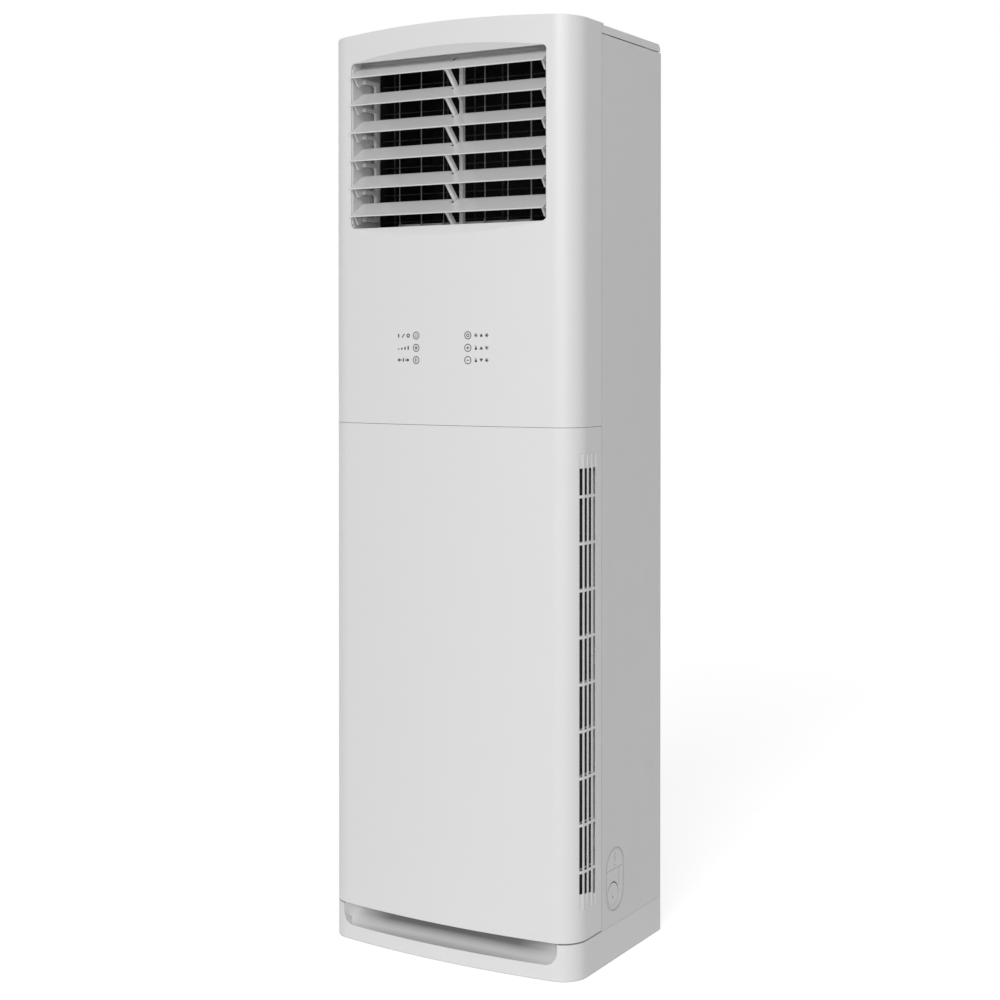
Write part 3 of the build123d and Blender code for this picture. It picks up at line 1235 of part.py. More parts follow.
def cable_gland():
    """Gland where the mains cable would enter the control box from below."""
    gland = rod_z(GLAND_X, GLAND_Y, CONTROL_LOW - 16, CONTROL_LOW, GLAND_RADIUS + 4.4)
    gland += rod_z(GLAND_X, GLAND_Y, CONTROL_LOW - 2, CONTROL_LOW + 6, GLAND_RADIUS)
    return gland - rod_z(GLAND_X, GLAND_Y, CONTROL_LOW - 20, CONTROL_LOW + 9, GLAND_RADIUS - 3.6)


def front_braces():
    """Cross members behind the front flanges: one at the seam, one at the foot."""
    y0 = SHEET_FRONT_Y + SHEET
    y1 = y0 + 1.2
    inner = SHEET_FACE - 0.3
    seam = box(-inner, inner, y0, y1, LOWER_TOP - 22, CONTROL_LOW)
    foot = box(-inner, inner, y0, y1, PLINTH_TOP + 2, PLINTH_TOP + 42)
    return seam + foot


def bracket_slots():
    """Two level slots through the wall bracket and the rear panel."""
    slots = []
    for x in (-BRACKET_HOLE_X, BRACKET_HOLE_X):
        slot = Pos(x, BRACKET_HOLE_Z) * SlotOverall(22, 9)
        slots.append(front_slab(slot, REAR_FACE_Y - 1, BACK_Y + 1))
    return slots


def wall_bracket():
    """Flat anti-tip bracket on the back, with two slots for screws into the wall."""
    plate = box(-90, 90, SHEET_BACK_Y, BACK_Y, BRACKET_HOLE_Z - 60, BRACKET_HOLE_Z + 30)
    return plate - bracket_slots()


def screws_at(places, y0, y1, radius):
    """Screw heads along Y at the given (X, Z) places."""
    heads = [rod_y(x, y0, y1, z, radius) for x, z in places]
    crosses = []
    for x, z in places:
        crosses.append(box(x - 2.4, x + 2.4, y1 - 0.7, y1 + 1, z - 0.5, z + 0.5))
        crosses.append(box(x - 0.5, x + 0.5, y1 - 0.7, y1 + 1, z - 2.4, z + 2.4))
    return Part() + heads - crosses


def rear_screws():
    """Screws down both edges of the rear panel."""
    places = [(x, z) for x in (9 - HALF, HALF - 9) for z in REAR_SCREWS_Z]
    return screws_at(places, SHEET_BACK_Y, BACK_Y, 4)


LOUVERS = {f"louver_{index + 1}": index for index in range(LOUVER_COUNT)}
VANES = {f"vane_{index + 1}": x for index, x in enumerate(VANE_COLUMNS)}


def build_parts():
    """Every piece of the unit by name."""
    side = side_panel_right()
    knockout = knockout_plate_right()
    air_filter = air_filter_right()
    parts = {
        "base_plinth": base_plinth(),
        "base_pan": base_pan(),
        "side_panel_right": side,
        "side_panel_left": mirrored(side),
        "knockout_plate_right": knockout,
        "knockout_plate_left": mirrored(knockout),
        "rear_panel": rear_panel(),
        "pipe_grommet": pipe_grommet(),
        "top_cover": top_cover(),
        "upper_front_panel": upper_front_panel(),
        "lower_front_panel": lower_front_panel(),
        "air_filter_right": air_filter,
        "air_filter_left": mirrored(air_filter),
        "front_braces": front_braces(),
        "outlet_frame": outlet_frame(),
        "louver_support_post": support_post(),
        "louver_link_bar": louver_link_bar(),
        "louver_motor": louver_motor(),
        "louver_motor_crank": louver_motor_crank(),
        "vane_link_rod": vane_link_rod(),
        "vane_motor": vane_motor(),
        "air_duct_liner": air_duct_liner(),
        "outlet_guard": outlet_guard(),
        "fan_scroll_housing": scroll_housing(),
        "fan_inlet_ring": fan_inlet_ring(),
        "fan_impeller": fan_impeller(),
        "fan_shaft": fan_shaft(),
        "impeller_nut": impeller_nut(),
        "fan_motor": fan_motor(),
        "motor_bracket": motor_bracket(),
        "fan_deck": fan_deck(),
        "evaporator_fins": evaporator_fins(),
        "evaporator_end_plates": evaporator_end_plates(),
        "evaporator_tubes": evaporator_tubes(),
        "gas_header": gas_header(),
        "liquid_header": liquid_header(),
        "flare_fittings": flare_fittings(),
        "drain_pan": drain_pan(),
        "drain_pipe": drain_pipe(),
        "control_box": control_box(),
        "control_box_lid": control_box_lid(),
        "main_board": main_board(),
        "terminal_block": terminal_block(),
        "run_capacitor": run_capacitor(),
        "display_board": display_board(),
        "cable_gland": cable_gland(),
        "wall_bracket": wall_bracket(),
        "rear_screws": rear_screws(),
    }
    louver_shape = louver()
    for name, index in LOUVERS.items():
        parts[name] = Pos(0, LOUVER_EDGE_Y, louver_edge_z(index)) * louver_shape
    for name, x in VANES.items():
        parts[name] = vane_at(x)
    return parts


os.makedirs("parts", exist_ok=True)
for part_name, part_shape in build_parts().items():
    export_step(part_shape, f"parts/{part_name}.step")
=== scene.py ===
import math

import bmesh
import bpy
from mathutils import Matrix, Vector


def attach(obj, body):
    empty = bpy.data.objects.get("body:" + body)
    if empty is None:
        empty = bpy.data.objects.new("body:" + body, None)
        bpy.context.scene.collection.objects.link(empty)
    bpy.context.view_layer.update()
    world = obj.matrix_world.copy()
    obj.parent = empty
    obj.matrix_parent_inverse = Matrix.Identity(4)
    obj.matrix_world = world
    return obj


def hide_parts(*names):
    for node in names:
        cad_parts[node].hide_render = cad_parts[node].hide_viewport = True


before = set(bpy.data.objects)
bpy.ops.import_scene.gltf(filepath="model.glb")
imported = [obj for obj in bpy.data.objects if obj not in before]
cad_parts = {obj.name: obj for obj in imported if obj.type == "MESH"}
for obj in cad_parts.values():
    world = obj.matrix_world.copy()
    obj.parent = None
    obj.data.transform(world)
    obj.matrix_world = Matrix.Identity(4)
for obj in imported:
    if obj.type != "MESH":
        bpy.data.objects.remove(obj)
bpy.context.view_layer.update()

# Floor-standing air conditioner. Metres, +Z up, the front faces -Y, +X on the viewer's right.

# ---- shapes shared with the CAD source ----
FRONT_Y = -0.200
BOW_RADIUS = 1.813
KEY_COLUMN_X = 0.061
KEY_ROWS_Z = (1.2466, 1.2220, 1.1976)

FILTER_X = 0.2715
FILTER_THICK = 0.005
FILTER_BORDER = 0.004
FILTER_BAR = 0.003
FILTER_FRONT_Y = -0.154
FILTER_BACK_Y = -0.076
FILTER_LOW = 0.140
FILTER_HIGH = 1.004
RIB_FIRST = 0.208
RIB_PITCH = 0.0908
RIB_COUNT = 9
VANE_COUNT = 6

# ---- printed keys ----
INK_LIFT = 0.00006
ARC_STEP = 6
ARC_STEPS_LEAST = 8
MERGE_REACH = 1e-7
RING_RADIUS = 0.0071
KEY_STROKE = 0.0017
MARK_STROKE = 0.0013
MARK_REACH = 0.0032
LEGEND_OUT_LEFT = 0.0316
LEGEND_OUT_RIGHT = 0.0302
LEGEND_STEP = 0.0120
LEGEND_HALF = 0.0036
LEGEND_STROKE = 0.0022
LEGEND_ARROW = 0.0068

# ---- filters ----
BAR_INSET = 0.001
BAR_EDGE = 0.0004
BAR_EDGE_STEPS = 2
NET_PITCH = 0.0022
NET_THREAD = 0.0007
NET_INSET = 0.0022

# ---- surfaces ----
MOULD_EDGE = 0.0007
SHEET_EDGE = 0.0005
EDGE_SAMPLES = 4
NOISE_RANGE = (0.3, 0.7)
# Painted shade where surfaces stand close: how far it reaches, its samples, the span it maps,
# and how dark it gets on sheet, plates and plinth.
GAP_REACH = 0.004
GAP_SAMPLES = 6
GAP_RANGE = (0.35, 0.90)
SHEET_GAP_SHADE = 0.6
PLATE_GAP_SHADE = 0.2
PLINTH_GAP_SHADE = 0.5
# Share of the colour left where the painted shade in the hand recess is darkest.
RECESS_SHADE = 0.25
# Depths behind the bowed front where the painted shade of the hand recess starts and ends.
RECESS_LIP = (0.006, 0.012)
RECESS_WALL = (0.060, 0.070)
RECESS_SHADE_Z = (0.034, 0.048)
RECESS_SHADE_X = (0.150, 0.262)

# ---- light ----
WHITE = (1, 1, 1, 1)
WORLD_LEVEL = 0.28
FLOOR_GREY = 0.70
FLOOR_GLOW = 0.66
FLOOR_REACH = 60
FLOOR_SQUARES = 8
FLOOR_DROP = 0.0005
# Degrees to the right of the front and degrees up; the spread is in radians.
SUN_TURN = 11
SUN_RISE = 22
SUN_SPREAD = 0.44
SUN_STRENGTH = 1.31
SIDE_PLACE = (2.6, -3.6, 2.2)
SIDE_TARGET = (0, 0, 0.9)
SIDE_SIZE = (2.2, 2.2)
SIDE_POWER = 35

# ---- camera ----
# The lens and its sensor are in millimetres, the turn and the dip in degrees.
CAMERA_PLACE = (1.8663, -3.1007, 1.2153)
CAMERA_TURN = 30.826
CAMERA_DIP = 0.488
CAMERA_LENS = 62.50
CAMERA_SENSOR = 36.0
CAMERA_SHIFT = -0.1340
CAMERA_CLIP = (0.05, 200.0)


# ---- materials ----
def grey(level):
    """Neutral colour."""
    return level, level, level


class Surface:
    """A procedural material, built up one node at a time."""

    def __init__(self, name, color, roughness, metallic=0.0, specular=0.5):
        self.material = bpy.data.materials.new(name)
        self.material.use_nodes = True
        self.tree = self.material.node_tree
        self.shader = self.tree.nodes["Principled BSDF"]
        self.color = color
        self.shader.inputs["Base Color"].default_value = (*color, 1)
        self.shader.inputs["Roughness"].default_value = roughness
        self.shader.inputs["Metallic"].default_value = metallic
        self.shader.inputs["Specular IOR Level"].default_value = specular
        self.normal = None
        self.coords = self.node("ShaderNodeTexCoord").outputs["Object"]

    def node(self, kind, **settings):
        """A new node with its settings made."""
        made = self.tree.nodes.new(kind)
        for key, value in settings.items():
            setattr(made, key, value)
        return made

    def link(self, source, target):
        """A wire between two sockets."""
        self.tree.links.new(source, target)

    def noise(self, scale, detail=3.0, stretch=(1, 1, 1)):
        """Noise from 0 to 1; the scale is in waves per metre, stretched by axis."""
        mapping = self.node("ShaderNodeMapping")
        mapping.inputs["Scale"].default_value = stretch
        self.link(self.coords, mapping.inputs["Vector"])
        made = self.node("ShaderNodeTexNoise")
        made.inputs["Scale"].default_value = scale
        made.inputs["Detail"].default_value = detail
        self.link(mapping.outputs["Vector"], made.inputs["Vector"])
        return made.outputs["Fac"]

    def cells(self, scale):
        """Voronoi cells: their distance and their random colour."""
        made = self.node("ShaderNodeTexVoronoi")
        made.inputs["Scale"].default_value = scale
        self.link(self.coords, made.inputs["Vector"])
        return made.outputs["Distance"], made.outputs["Color"]

    def waves(self, axis, scale, distortion=0.0):
        """Straight bands across an axis."""
        made = self.node("ShaderNodeTexWave", wave_type="BANDS", bands_direction=axis)
        made.inputs["Scale"].default_value = scale
        made.inputs["Distortion"].default_value = distortion
        self.link(self.coords, made.inputs["Vector"])
        return made.outputs["Fac"]

    def spread(self, source, low, high, start, end):
        """The part of a value between start and end, mapped to low and high."""
        made = self.node("ShaderNodeMapRange")
        made.inputs["From Min"].default_value = start
        made.inputs["From Max"].default_value = end
        made.inputs["To Min"].default_value = low
        made.inputs["To Max"].default_value = high
        self.link(source, made.inputs["Value"])
        return made.outputs["Result"]

    def math(self, operation, first, second):
        """Two values put together; the second may be a plain number."""
        made = self.node("ShaderNodeMath", operation=operation)
        self.link(first, made.inputs[0])
        if isinstance(second, float):
            made.inputs[1].default_value = second
        else:
            self.link(second, made.inputs[1])
        return made.outputs["Value"]

    def vary_color(self, source, dark, light):
        """Base colour between a darker and a lighter share of itself."""
        made = self.node("ShaderNodeMix", data_type="RGBA")
        sockets = [s for s in made.inputs if s.type == "RGBA"]
        sockets[0].default_value = (*[c * dark for c in self.color], 1)
        sockets[1].default_value = (*[min(1, c * light) for c in self.color], 1)
        self.link(source, made.inputs[0])
        output = [s for s in made.outputs if s.type == "RGBA"][0]
        self.link(output, self.shader.inputs["Base Color"])

    def vary_roughness(self, source, low, high):
        """Roughness between two values."""
        self.link(self.spread(source, low, high, *NOISE_RANGE), self.shader.inputs["Roughness"])

    def scale_color(self, share):
        """The varied base colour, times a share that is worked out elsewhere."""
        base = self.shader.inputs["Base Color"]
        made = self.node("ShaderNodeVectorMath", operation="SCALE")
        self.link(base.links[0].from_socket, made.inputs["Vector"])
        self.link(share, made.inputs["Scale"])
        self.link(made.outputs["Vector"], base)

    def shade_gaps(self, dark):
        """Painted shade: darker colour where another surface stands close, in seams, grooves
        and corners.
        """
        close = self.node("ShaderNodeAmbientOcclusion", samples=GAP_SAMPLES)
        close.inputs["Distance"].default_value = GAP_REACH
        self.scale_color(self.spread(close.outputs["AO"], dark, 1, *GAP_RANGE))

    def soften(self, radius):
        """Edges that catch the light as if they were rounded."""
        made = self.node("ShaderNodeBevel", samples=EDGE_SAMPLES)
        made.inputs["Radius"].default_value = radius
        self.normal = made.outputs["Normal"]
        self.link(self.normal, self.shader.inputs["Normal"])

    def bump(self, source, strength, distance):
        """Adds a layer of relief; the distance is in metres."""
        made = self.node("ShaderNodeBump")
        made.inputs["Strength"].default_value = strength
        made.inputs["Distance"].default_value = distance
        self.link(source, made.inputs["Height"])
        if self.normal is not None:
            self.link(self.normal, made.inputs["Normal"])
        self.normal = made.outputs["Normal"]
        self.link(self.normal, self.shader.inputs["Normal"])


def moulded_surface(name, color, roughness, grain=0.05, cloud=0.01):
    """Injection-moulded plastic: faint flow clouds, fine grain, handled gloss."""
    s = Surface(name, color, roughness)
    s.soften(MOULD_EDGE)
    clouds = s.noise(scale=2.2, detail=4.0, stretch=(1, 1, 0.45))
    s.vary_color(clouds, dark=1 - cloud, light=1 + cloud)
    s.vary_roughness(s.noise(scale=14.0, detail=5.0), roughness - 0.04, roughness + 0.05)
    s.bump(s.noise(scale=9.0, detail=2.0), strength=0.06, distance=0.0004)
    s.bump(s.noise(scale=1900.0, detail=2.0), strength=grain, distance=0.00006)
    return s


def moulded(name, color, **look):
    """Material of an injection-moulded plastic."""
    return moulded_surface(name, color, **look).material


def shaded_plinth(name, color, roughness):
    """Moulded plinth with painted shade in its hand recess, darkest under the panel and most in
    its middle.
    """
    s = moulded_surface(name, color, roughness)
    split = s.node("ShaderNodeSeparateXYZ")
    s.link(s.coords, split.inputs["Vector"])
    across = s.math("MULTIPLY", split.outputs["X"], split.outputs["X"])
    sag = s.math("MULTIPLY", across, 0.5 / BOW_RADIUS)
    depth = s.math("SUBTRACT", split.outputs["Y"], sag)
    # Painted shade: a mask of the hand recess, darker toward its top and its middle.
    behind_lip = s.spread(depth, 0, 1, *[FRONT_Y + back for back in RECESS_LIP])
    before_wall = s.spread(depth, 1, 0, *[FRONT_Y + back for back in RECESS_WALL])
    inside = s.math("MULTIPLY", behind_lip, before_wall)
    high = s.spread(split.outputs["Z"], 0, 1, *RECESS_SHADE_Z)
    middle = s.spread(across, 1, 0, *[x ** 2 for x in RECESS_SHADE_X])
    shade = s.math("MULTIPLY", s.math("MULTIPLY", inside, high), middle)
    s.scale_color(s.spread(shade, 1, RECESS_SHADE, 0, 1))
    s.shade_gaps(PLINTH_GAP_SHADE)
    return s.material


def powder_coat(name, color, roughness, gap_shade):
    """Powder-coated sheet: orange peel, a little gloss and painted shade at its seams and
    grooves.
    """
    s = Surface(name, color, roughness)
    s.soften(SHEET_EDGE)
    s.vary_color(s.noise(scale=1.6), dark=0.985, light=1.01)
    s.shade_gaps(gap_shade)
    s.vary_roughness(s.noise(scale=30.0, detail=4.0), roughness - 0.05, roughness + 0.06)
    s.bump(s.noise(scale=620.0, detail=2.0), strength=0.10, distance=0.00012)
    s.bump(s.noise(scale=2400.0, detail=1.0), strength=0.05, distance=0.00005)
    return s.material


def netting(name, color):
    """Woven net seen close: crossing threads."""
    s = Surface(name, color, roughness=0.6)
    s.vary_color(s.noise(scale=220.0), dark=0.6, light=1.9)
    for axis in ("Z", "Y"):
        s.bump(s.waves(axis, scale=330.0), strength=0.6, distance=0.0004)
    return s.material


def foam(name, color):
    """Closed-cell foam: small pits."""
    s = Surface(name, color, roughness=0.9)
    distance, _ = s.cells(scale=700.0)
    s.vary_color(distance, dark=0.5, light=1.7)
    s.bump(distance, strength=0.7, distance=0.0006)
    return s.material


def zinc(name, color):
    """Galvanised sheet: spangles with their own brightness and gloss."""
    s = Surface(name, color, roughness=0.4, metallic=1.0)
    _, tint = s.cells(scale=85.0)
    s.vary_color(tint, dark=0.78, light=1.12)
    s.vary_roughness(tint, 0.28, 0.5)
    s.bump(s.noise(scale=500.0, detail=2.0), strength=0.08, distance=0.0001)
    return s.material


def finned(name, color):
    """Stack of thin fins, a little wavy, with painted shade in the gaps between them."""
    s = Surface(name, color, roughness=0.35, metallic=1.0)
    gaps = s.waves("X", scale=300.0, distortion=0.3)
    # The gaps between the fins are painted dark: painted shade.
    s.vary_color(gaps, dark=0.25, light=1.1)
    s.vary_roughness(s.noise(scale=60.0, detail=4.0), 0.3, 0.5)
    s.bump(gaps, strength=0.8, distance=0.0006)
    return s.material


def drawn_metal(name, color, roughness):
    """Drawn or turned metal: fine streaks along Z and a little tarnish."""
    s = Surface(name, color, roughness, metallic=1.0)
    streaks = (1, 1, 0.05)
    s.vary_color(s.noise(scale=40.0, detail=5.0), dark=0.78, light=1.08)
    gloss = s.noise(scale=900.0, detail=2.0, stretch=streaks)
    s.vary_roughness(gloss, roughness - 0.08, roughness + 0.12)
    relief = s.noise(scale=1200.0, detail=2.0, stretch=streaks)
    s.bump(relief, strength=0.10, distance=0.00006)
    return s.material


def rubber(name, color):
    """Moulded rubber with a dusty bloom."""
    s = Surface(name, color, roughness=0.75, specular=0.3)
    s.vary_color(s.noise(scale=60.0, detail=5.0), dark=0.8, light=1.6)
    s.bump(s.noise(scale=1400.0, detail=2.0), strength=0.2, distance=0.0001)
    return s.material


def circuit_board(name, color):
    """Solder mask in uneven patches."""
    s = Surface(name, color, roughness=0.3)
    distance, tint = s.cells(scale=160.0)
    s.vary_color(tint, dark=0.7, light=1.5)
    s.bump(distance, strength=0.2, distance=0.0001)
    return s.material


def ink(name, color):
    """Screen-printed ink, a little uneven."""
    s = Surface(name, color, roughness=0.45)
    s.vary_color(s.noise(scale=2500.0, detail=2.0), dark=0.85, light=1.15)
    s.bump(s.noise(scale=3000.0, detail=2.0), strength=0.1, distance=0.00003)
    return s.material


# How each material slot is made: by which function, in which colour and with what settings.
LOOKS = {
    "white_moulding": (moulded, grey(0.80), dict(roughness=0.33)),
    "painted_sheet": (powder_coat, grey(0.78), dict(roughness=0.42, gap_shade=SHEET_GAP_SHADE)),
    "louver_white": (moulded, grey(0.74), dict(roughness=0.14, grain=0.02)),
    "vane_white": (moulded, grey(0.76), dict(roughness=0.45)),
    "black_net": (netting, (0.035, 0.035, 0.038), {}),
    "black_foam": (foam, (0.010, 0.010, 0.011), {}),
    "galvanised": (zinc, (0.60, 0.61, 0.62), {}),
    "fin_aluminium": (finned, (0.72, 0.74, 0.76), {}),
    "copper": (drawn_metal, (0.78, 0.42, 0.26), dict(roughness=0.28)),
    "brass_fitting": (drawn_metal, (0.76, 0.58, 0.26), dict(roughness=0.25)),
    "fan_plastic": (moulded, (0.030, 0.030, 0.032), dict(roughness=0.5, grain=0.1, cloud=0.1)),
    "steel": (drawn_metal, (0.60, 0.60, 0.61), dict(roughness=0.32)),
    "motor_black": (moulded, (0.030, 0.030, 0.031), dict(roughness=0.42, grain=0.1, cloud=0.1)),
    "rubber_black": (rubber, grey(0.018), {}),
    "drain_plastic": (moulded, (0.62, 0.62, 0.60), dict(roughness=0.5, cloud=0.03)),
    "board_green": (circuit_board, (0.02, 0.12, 0.05), {}),
}
FINISH = {
    slot: make(slot + "_look", color, **look) for slot, (make, color, look) in LOOKS.items()
}
PLATE = powder_coat("plate_look", grey(0.80), roughness=0.40, gap_shade=PLATE_GAP_SHADE)
# The vanes are painted a darker grey than the white of their slot: painted shade for the
# louvers' shadow on them.
VANE_PAINTED_SHADE = moulded("vane_look", grey(0.42), roughness=0.45)
# Nodes whose finish differs from that of their slot.
NODE_FINISH = {
    # The link bar and the support post are painted lighter than the louvers' white: painted
    # light for the light they catch.
    "louver_link_bar": moulded("link_bar_look", grey(0.86), roughness=0.30),
    "louver_support_post": moulded("post_look", grey(0.86), roughness=0.30),
    "outlet_frame": moulded("outlet_frame_look", grey(0.72), roughness=0.38),
    "knockout_plate_right": PLATE,
    "knockout_plate_left": PLATE,
    "base_plinth": shaded_plinth("plinth_look", grey(0.80), roughness=0.33),
}
for number in range(1, VANE_COUNT + 1):
    NODE_FINISH["vane_%d" % number] = VANE_PAINTED_SHADE
INK = ink("key_print_look", (0.022, 0.022, 0.023))


def dress_nodes():
    """Gives every CAD node its own finish, or the finish of its material slot."""
    for name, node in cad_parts.items():
        for place in node.material_slots:
            slot = place.material.name.split(".")[0]
            place.material = NODE_FINISH.get(name, FINISH[slot])


# ---- mesh helpers ----
def mesh_from(made, name):
    """The finished mesh of a shape under construction."""
    mesh = bpy.data.meshes.new(name)
    made.to_mesh(mesh)
    made.free()
    return mesh


def new_piece(name, mesh, material, body):
    """Puts a finished mesh in the scene, riding on a body."""
    mesh.materials.append(material)
    piece = bpy.data.objects.new(name, mesh)
    bpy.context.scene.collection.objects.link(piece)
    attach(piece, body)
    return piece


def bow_y(x):
    """Y of the bowed front at x."""
    return FRONT_Y + BOW_RADIUS - math.sqrt(BOW_RADIUS ** 2 - x ** 2)


def around(x, z, radius, turn):
    """Point on a circle about (x, z), at a turn in degrees."""
    angle = math.radians(turn)
    return x + radius * math.cos(angle), z + radius * math.sin(angle)


class Print:
    """Flat marks in the front view, laid on the bowed front as thin ink."""

    def __init__(self):
        self.mesh = bmesh.new()

    def strip(self, inner, outer, closed=False):
        """Band between two matching lines of (x, z) points."""
        rows = []
        for line in (inner, outer):
            rows.append([self.mesh.verts.new((x, bow_y(x) - INK_LIFT, z)) for x, z in line])
        count = len(inner)
        for i in range(count if closed else count - 1):
            j = (i + 1) % count
            self.mesh.faces.new((rows[0][i], rows[0][j], rows[1][j], rows[1][i]))

    def arc(self, x, z, radius, width, start=0.0, end=360.0):
        """Part of a ring, or all of it."""
        closed = end - start >= 360
        steps = max(ARC_STEPS_LEAST, int((end - start) / ARC_STEP))
        count = steps if closed else steps + 1
        turns = [start + (end - start) * i / steps for i in range(count)]
        inner = [around(x, z, radius - width / 2, turn) for turn in turns]
        outer = [around(x, z, radius + width / 2, turn) for turn in turns]
        self.strip(inner, outer, closed)

    def disc(self, x, z, radius):
        """Filled dot."""
        self.arc(x, z, radius / 2, radius)

    def bar(self, x0, z0, x1, z1, width):
        """Straight stroke with square ends."""
        along = Vector((x1 - x0, z1 - z0))
        side = Vector((-along.y, along.x)).normalized() * width / 2
        inner = [(x0 + side.x, z0 + side.y), (x1 + side.x, z1 + side.y)]
        outer = [(x0 - side.x, z0 - side.y), (x1 - side.x, z1 - side.y)]
        self.strip(inner, outer)

    def upright(self, x, z, low, high, width):
        """Upright stroke, from low to high beside z."""
        self.bar(x, z + low, x, z + high, width)

    def level(self, x, z, left, right, width):
        """Level stroke, from left to right beside x."""
        self.bar(x + left, z, x + right, z, width)

    def upright_arrow(self, x, z, size):
        """Filled arrow head that points up, or down where size is negative."""
        tip = (x, z + size * 0.5)
        foot = z - size * 0.5
        half = abs(size) * 0.6
        self.strip([(x - half, foot), tip], [(x, foot), tip])
        self.strip([(x, foot), tip], [(x + half, foot), tip])

    def level_arrow(self, x, z, size):
        """Filled arrow head that points right, or left where size is negative."""
        tip = (x + size * 0.5, z)
        foot = x - size * 0.5
        half = abs(size) * 0.6
        self.strip([(foot, z + half), tip], [(foot, z), tip])
        self.strip([(foot, z), tip], [(foot, z - half), tip])

    def finish(self):
        """The marks as a mesh whose faces look out of the front."""
        bmesh.ops.remove_doubles(self.mesh, verts=self.mesh.verts, dist=MERGE_REACH)
        bmesh.ops.recalc_face_normals(self.mesh, faces=self.mesh.faces)
        for face in self.mesh.faces:
            if face.normal.y > 0:
                face.normal_flip()
        return mesh_from(self.mesh, "marks")


# ---- key pictograms ----
def power_mark(p, x, z):
    """Broken ring with a stroke."""
    p.arc(x, z - 0.0003, radius=0.0030, width=MARK_STROKE, start=130, end=410)
    p.upright(x, z, low=0.0006, high=0.0042, width=MARK_STROKE)


def fan_mark(p, x, z):
    """Hub with six blades."""
    p.disc(x, z, radius=0.0012)
    for turn in range(0, 360, 60):
        p.bar(x, z, *around(x, z, 0.0040, turn), width=MARK_STROKE)


def swing_mark(p, x, z):
    """Upright flap with its sweep."""
    flap_x = x - 0.0016
    p.upright(flap_x, z, low=-0.0038, high=0.0038, width=0.0019)
    p.arc(flap_x, z, radius=0.0040, width=MARK_STROKE, start=-58, end=58)


def mode_mark(p, x, z):
    """Small ring in the key's ring."""
    p.arc(x, z, radius=0.0027, width=KEY_STROKE)


def minus_mark(p, x, z):
    """Minus sign."""
    p.level(x, z, left=-MARK_REACH, right=MARK_REACH, width=KEY_STROKE)


def plus_mark(p, x, z):
    """Plus sign."""
    minus_mark(p, x, z)
    p.upright(x, z, low=-MARK_REACH, high=MARK_REACH, width=KEY_STROKE)


# ---- legends beside the keys, all of them pictograms ----
def sun_icon(p, x, z):
    """Disc with rays."""
    ray_start, ray_end = 0.0028, 0.0043
    p.disc(x, z, radius=0.0022)
    for turn in range(0, 360, 45):
        p.bar(*around(x, z, ray_start, turn), *around(x, z, ray_end, turn), width=0.0012)


def drop_icon(p, x, z):
    """Water drop."""
    p.disc(x, z - 0.0010, radius=0.0027)
    p.upright_arrow(x, z + 0.0018, size=0.0040)


def frost_icon(p, x, z):
    """Crossed strokes of a frost star."""
    for turn in (0, 60, 120):
        across, up = around(0, 0, 0.0041, turn)
        p.bar(x - across, z - up, x + across, z + up, width=0.0016)


def thermometer_icon(p, x, z):
    """Stem and bulb."""
    p.upright(x, z, low=-0.0010, high=0.0042, width=LEGEND_STROKE)
    p.disc(x, z - 0.0018, radius=0.0025)


def power_legend(p, x, z):
    """Stroke for on, a slanted stroke, and a ring for off."""
    slant = 0.0030
    p.upright(x - LEGEND_STEP, z, low=-LEGEND_HALF, high=LEGEND_HALF, width=0.0030)
    p.bar(x - slant, z - LEGEND_HALF, x + slant, z + LEGEND_HALF, width=LEGEND_STROKE)
    p.arc(x + LEGEND_STEP, z, radius=0.0031, width=0.0023)


def speed_legend(p, x, z):
    """Rising bars."""
    pitch, first_top, rise = 0.0080, -0.0012, 0.0016
    for step in range(4):
        bar_x = x - LEGEND_STEP + step * pitch
        top = z + first_top + step * rise
        p.bar(bar_x, z - LEGEND_HALF, bar_x, top, width=0.0034)


def sweep_legend(p, x, z):
    """Arrow heads to both sides of an upright flap."""
    shaft_start, shaft_end, head = 0.0040, 0.0102, 0.0124
    p.upright(x, z, low=-0.0037, high=0.0037, width=0.0028)
    for side in (-1, 1):
        p.level(x, z, side * shaft_start, side * shaft_end, width=LEGEND_STROKE)
        p.level_arrow(x + side * head, z, size=side * 0.0064)


def weather_legend(p, x, z):
    """Sun, drop and frost star."""
    sun_icon(p, x - LEGEND_STEP, z)
    drop_icon(p, x, z)
    frost_icon(p, x + LEGEND_STEP, z)


def warmer_legend(p, x, z):
    """Thermometer, rising arrow and sun."""
    thermometer_icon(p, x - LEGEND_STEP, z)
    p.upright_arrow(x, z, size=LEGEND_ARROW)
    sun_icon(p, x + LEGEND_STEP, z)


def cooler_legend(p, x, z):
    """Thermometer, falling arrow and frost star."""
    thermometer_icon(p, x - LEGEND_STEP, z)
    p.upright_arrow(x, z, size=-LEGEND_ARROW)
    frost_icon(p, x + LEGEND_STEP, z)


# Side, row, pictogram in the ring and legend beside it.
KEYS = (
    (-1, 0, power_mark, power_legend),
    (-1, 1, fan_mark, speed_legend),
    (-1, 2, swing_mark, sweep_legend),
    (1, 0, mode_mark, weather_legend),
    (1, 1, plus_mark, warmer_legend),
    (1, 2, minus_mark, cooler_legend),
)


def key_print():
    """Printed rings of the six touch keys, their pictograms and the legends outside them."""
    p = Print()
    for side, row, mark, legend in KEYS:
        x, z = side * KEY_COLUMN_X, KEY_ROWS_Z[row]
        p.arc(x, z, RING_RADIUS, KEY_STROKE)
        mark(p, x, z)
        legend(p, x + (LEGEND_OUT_RIGHT if side > 0 else -LEGEND_OUT_LEFT), z)
    new_piece("key_print", p.finish(), INK, "cabinet")


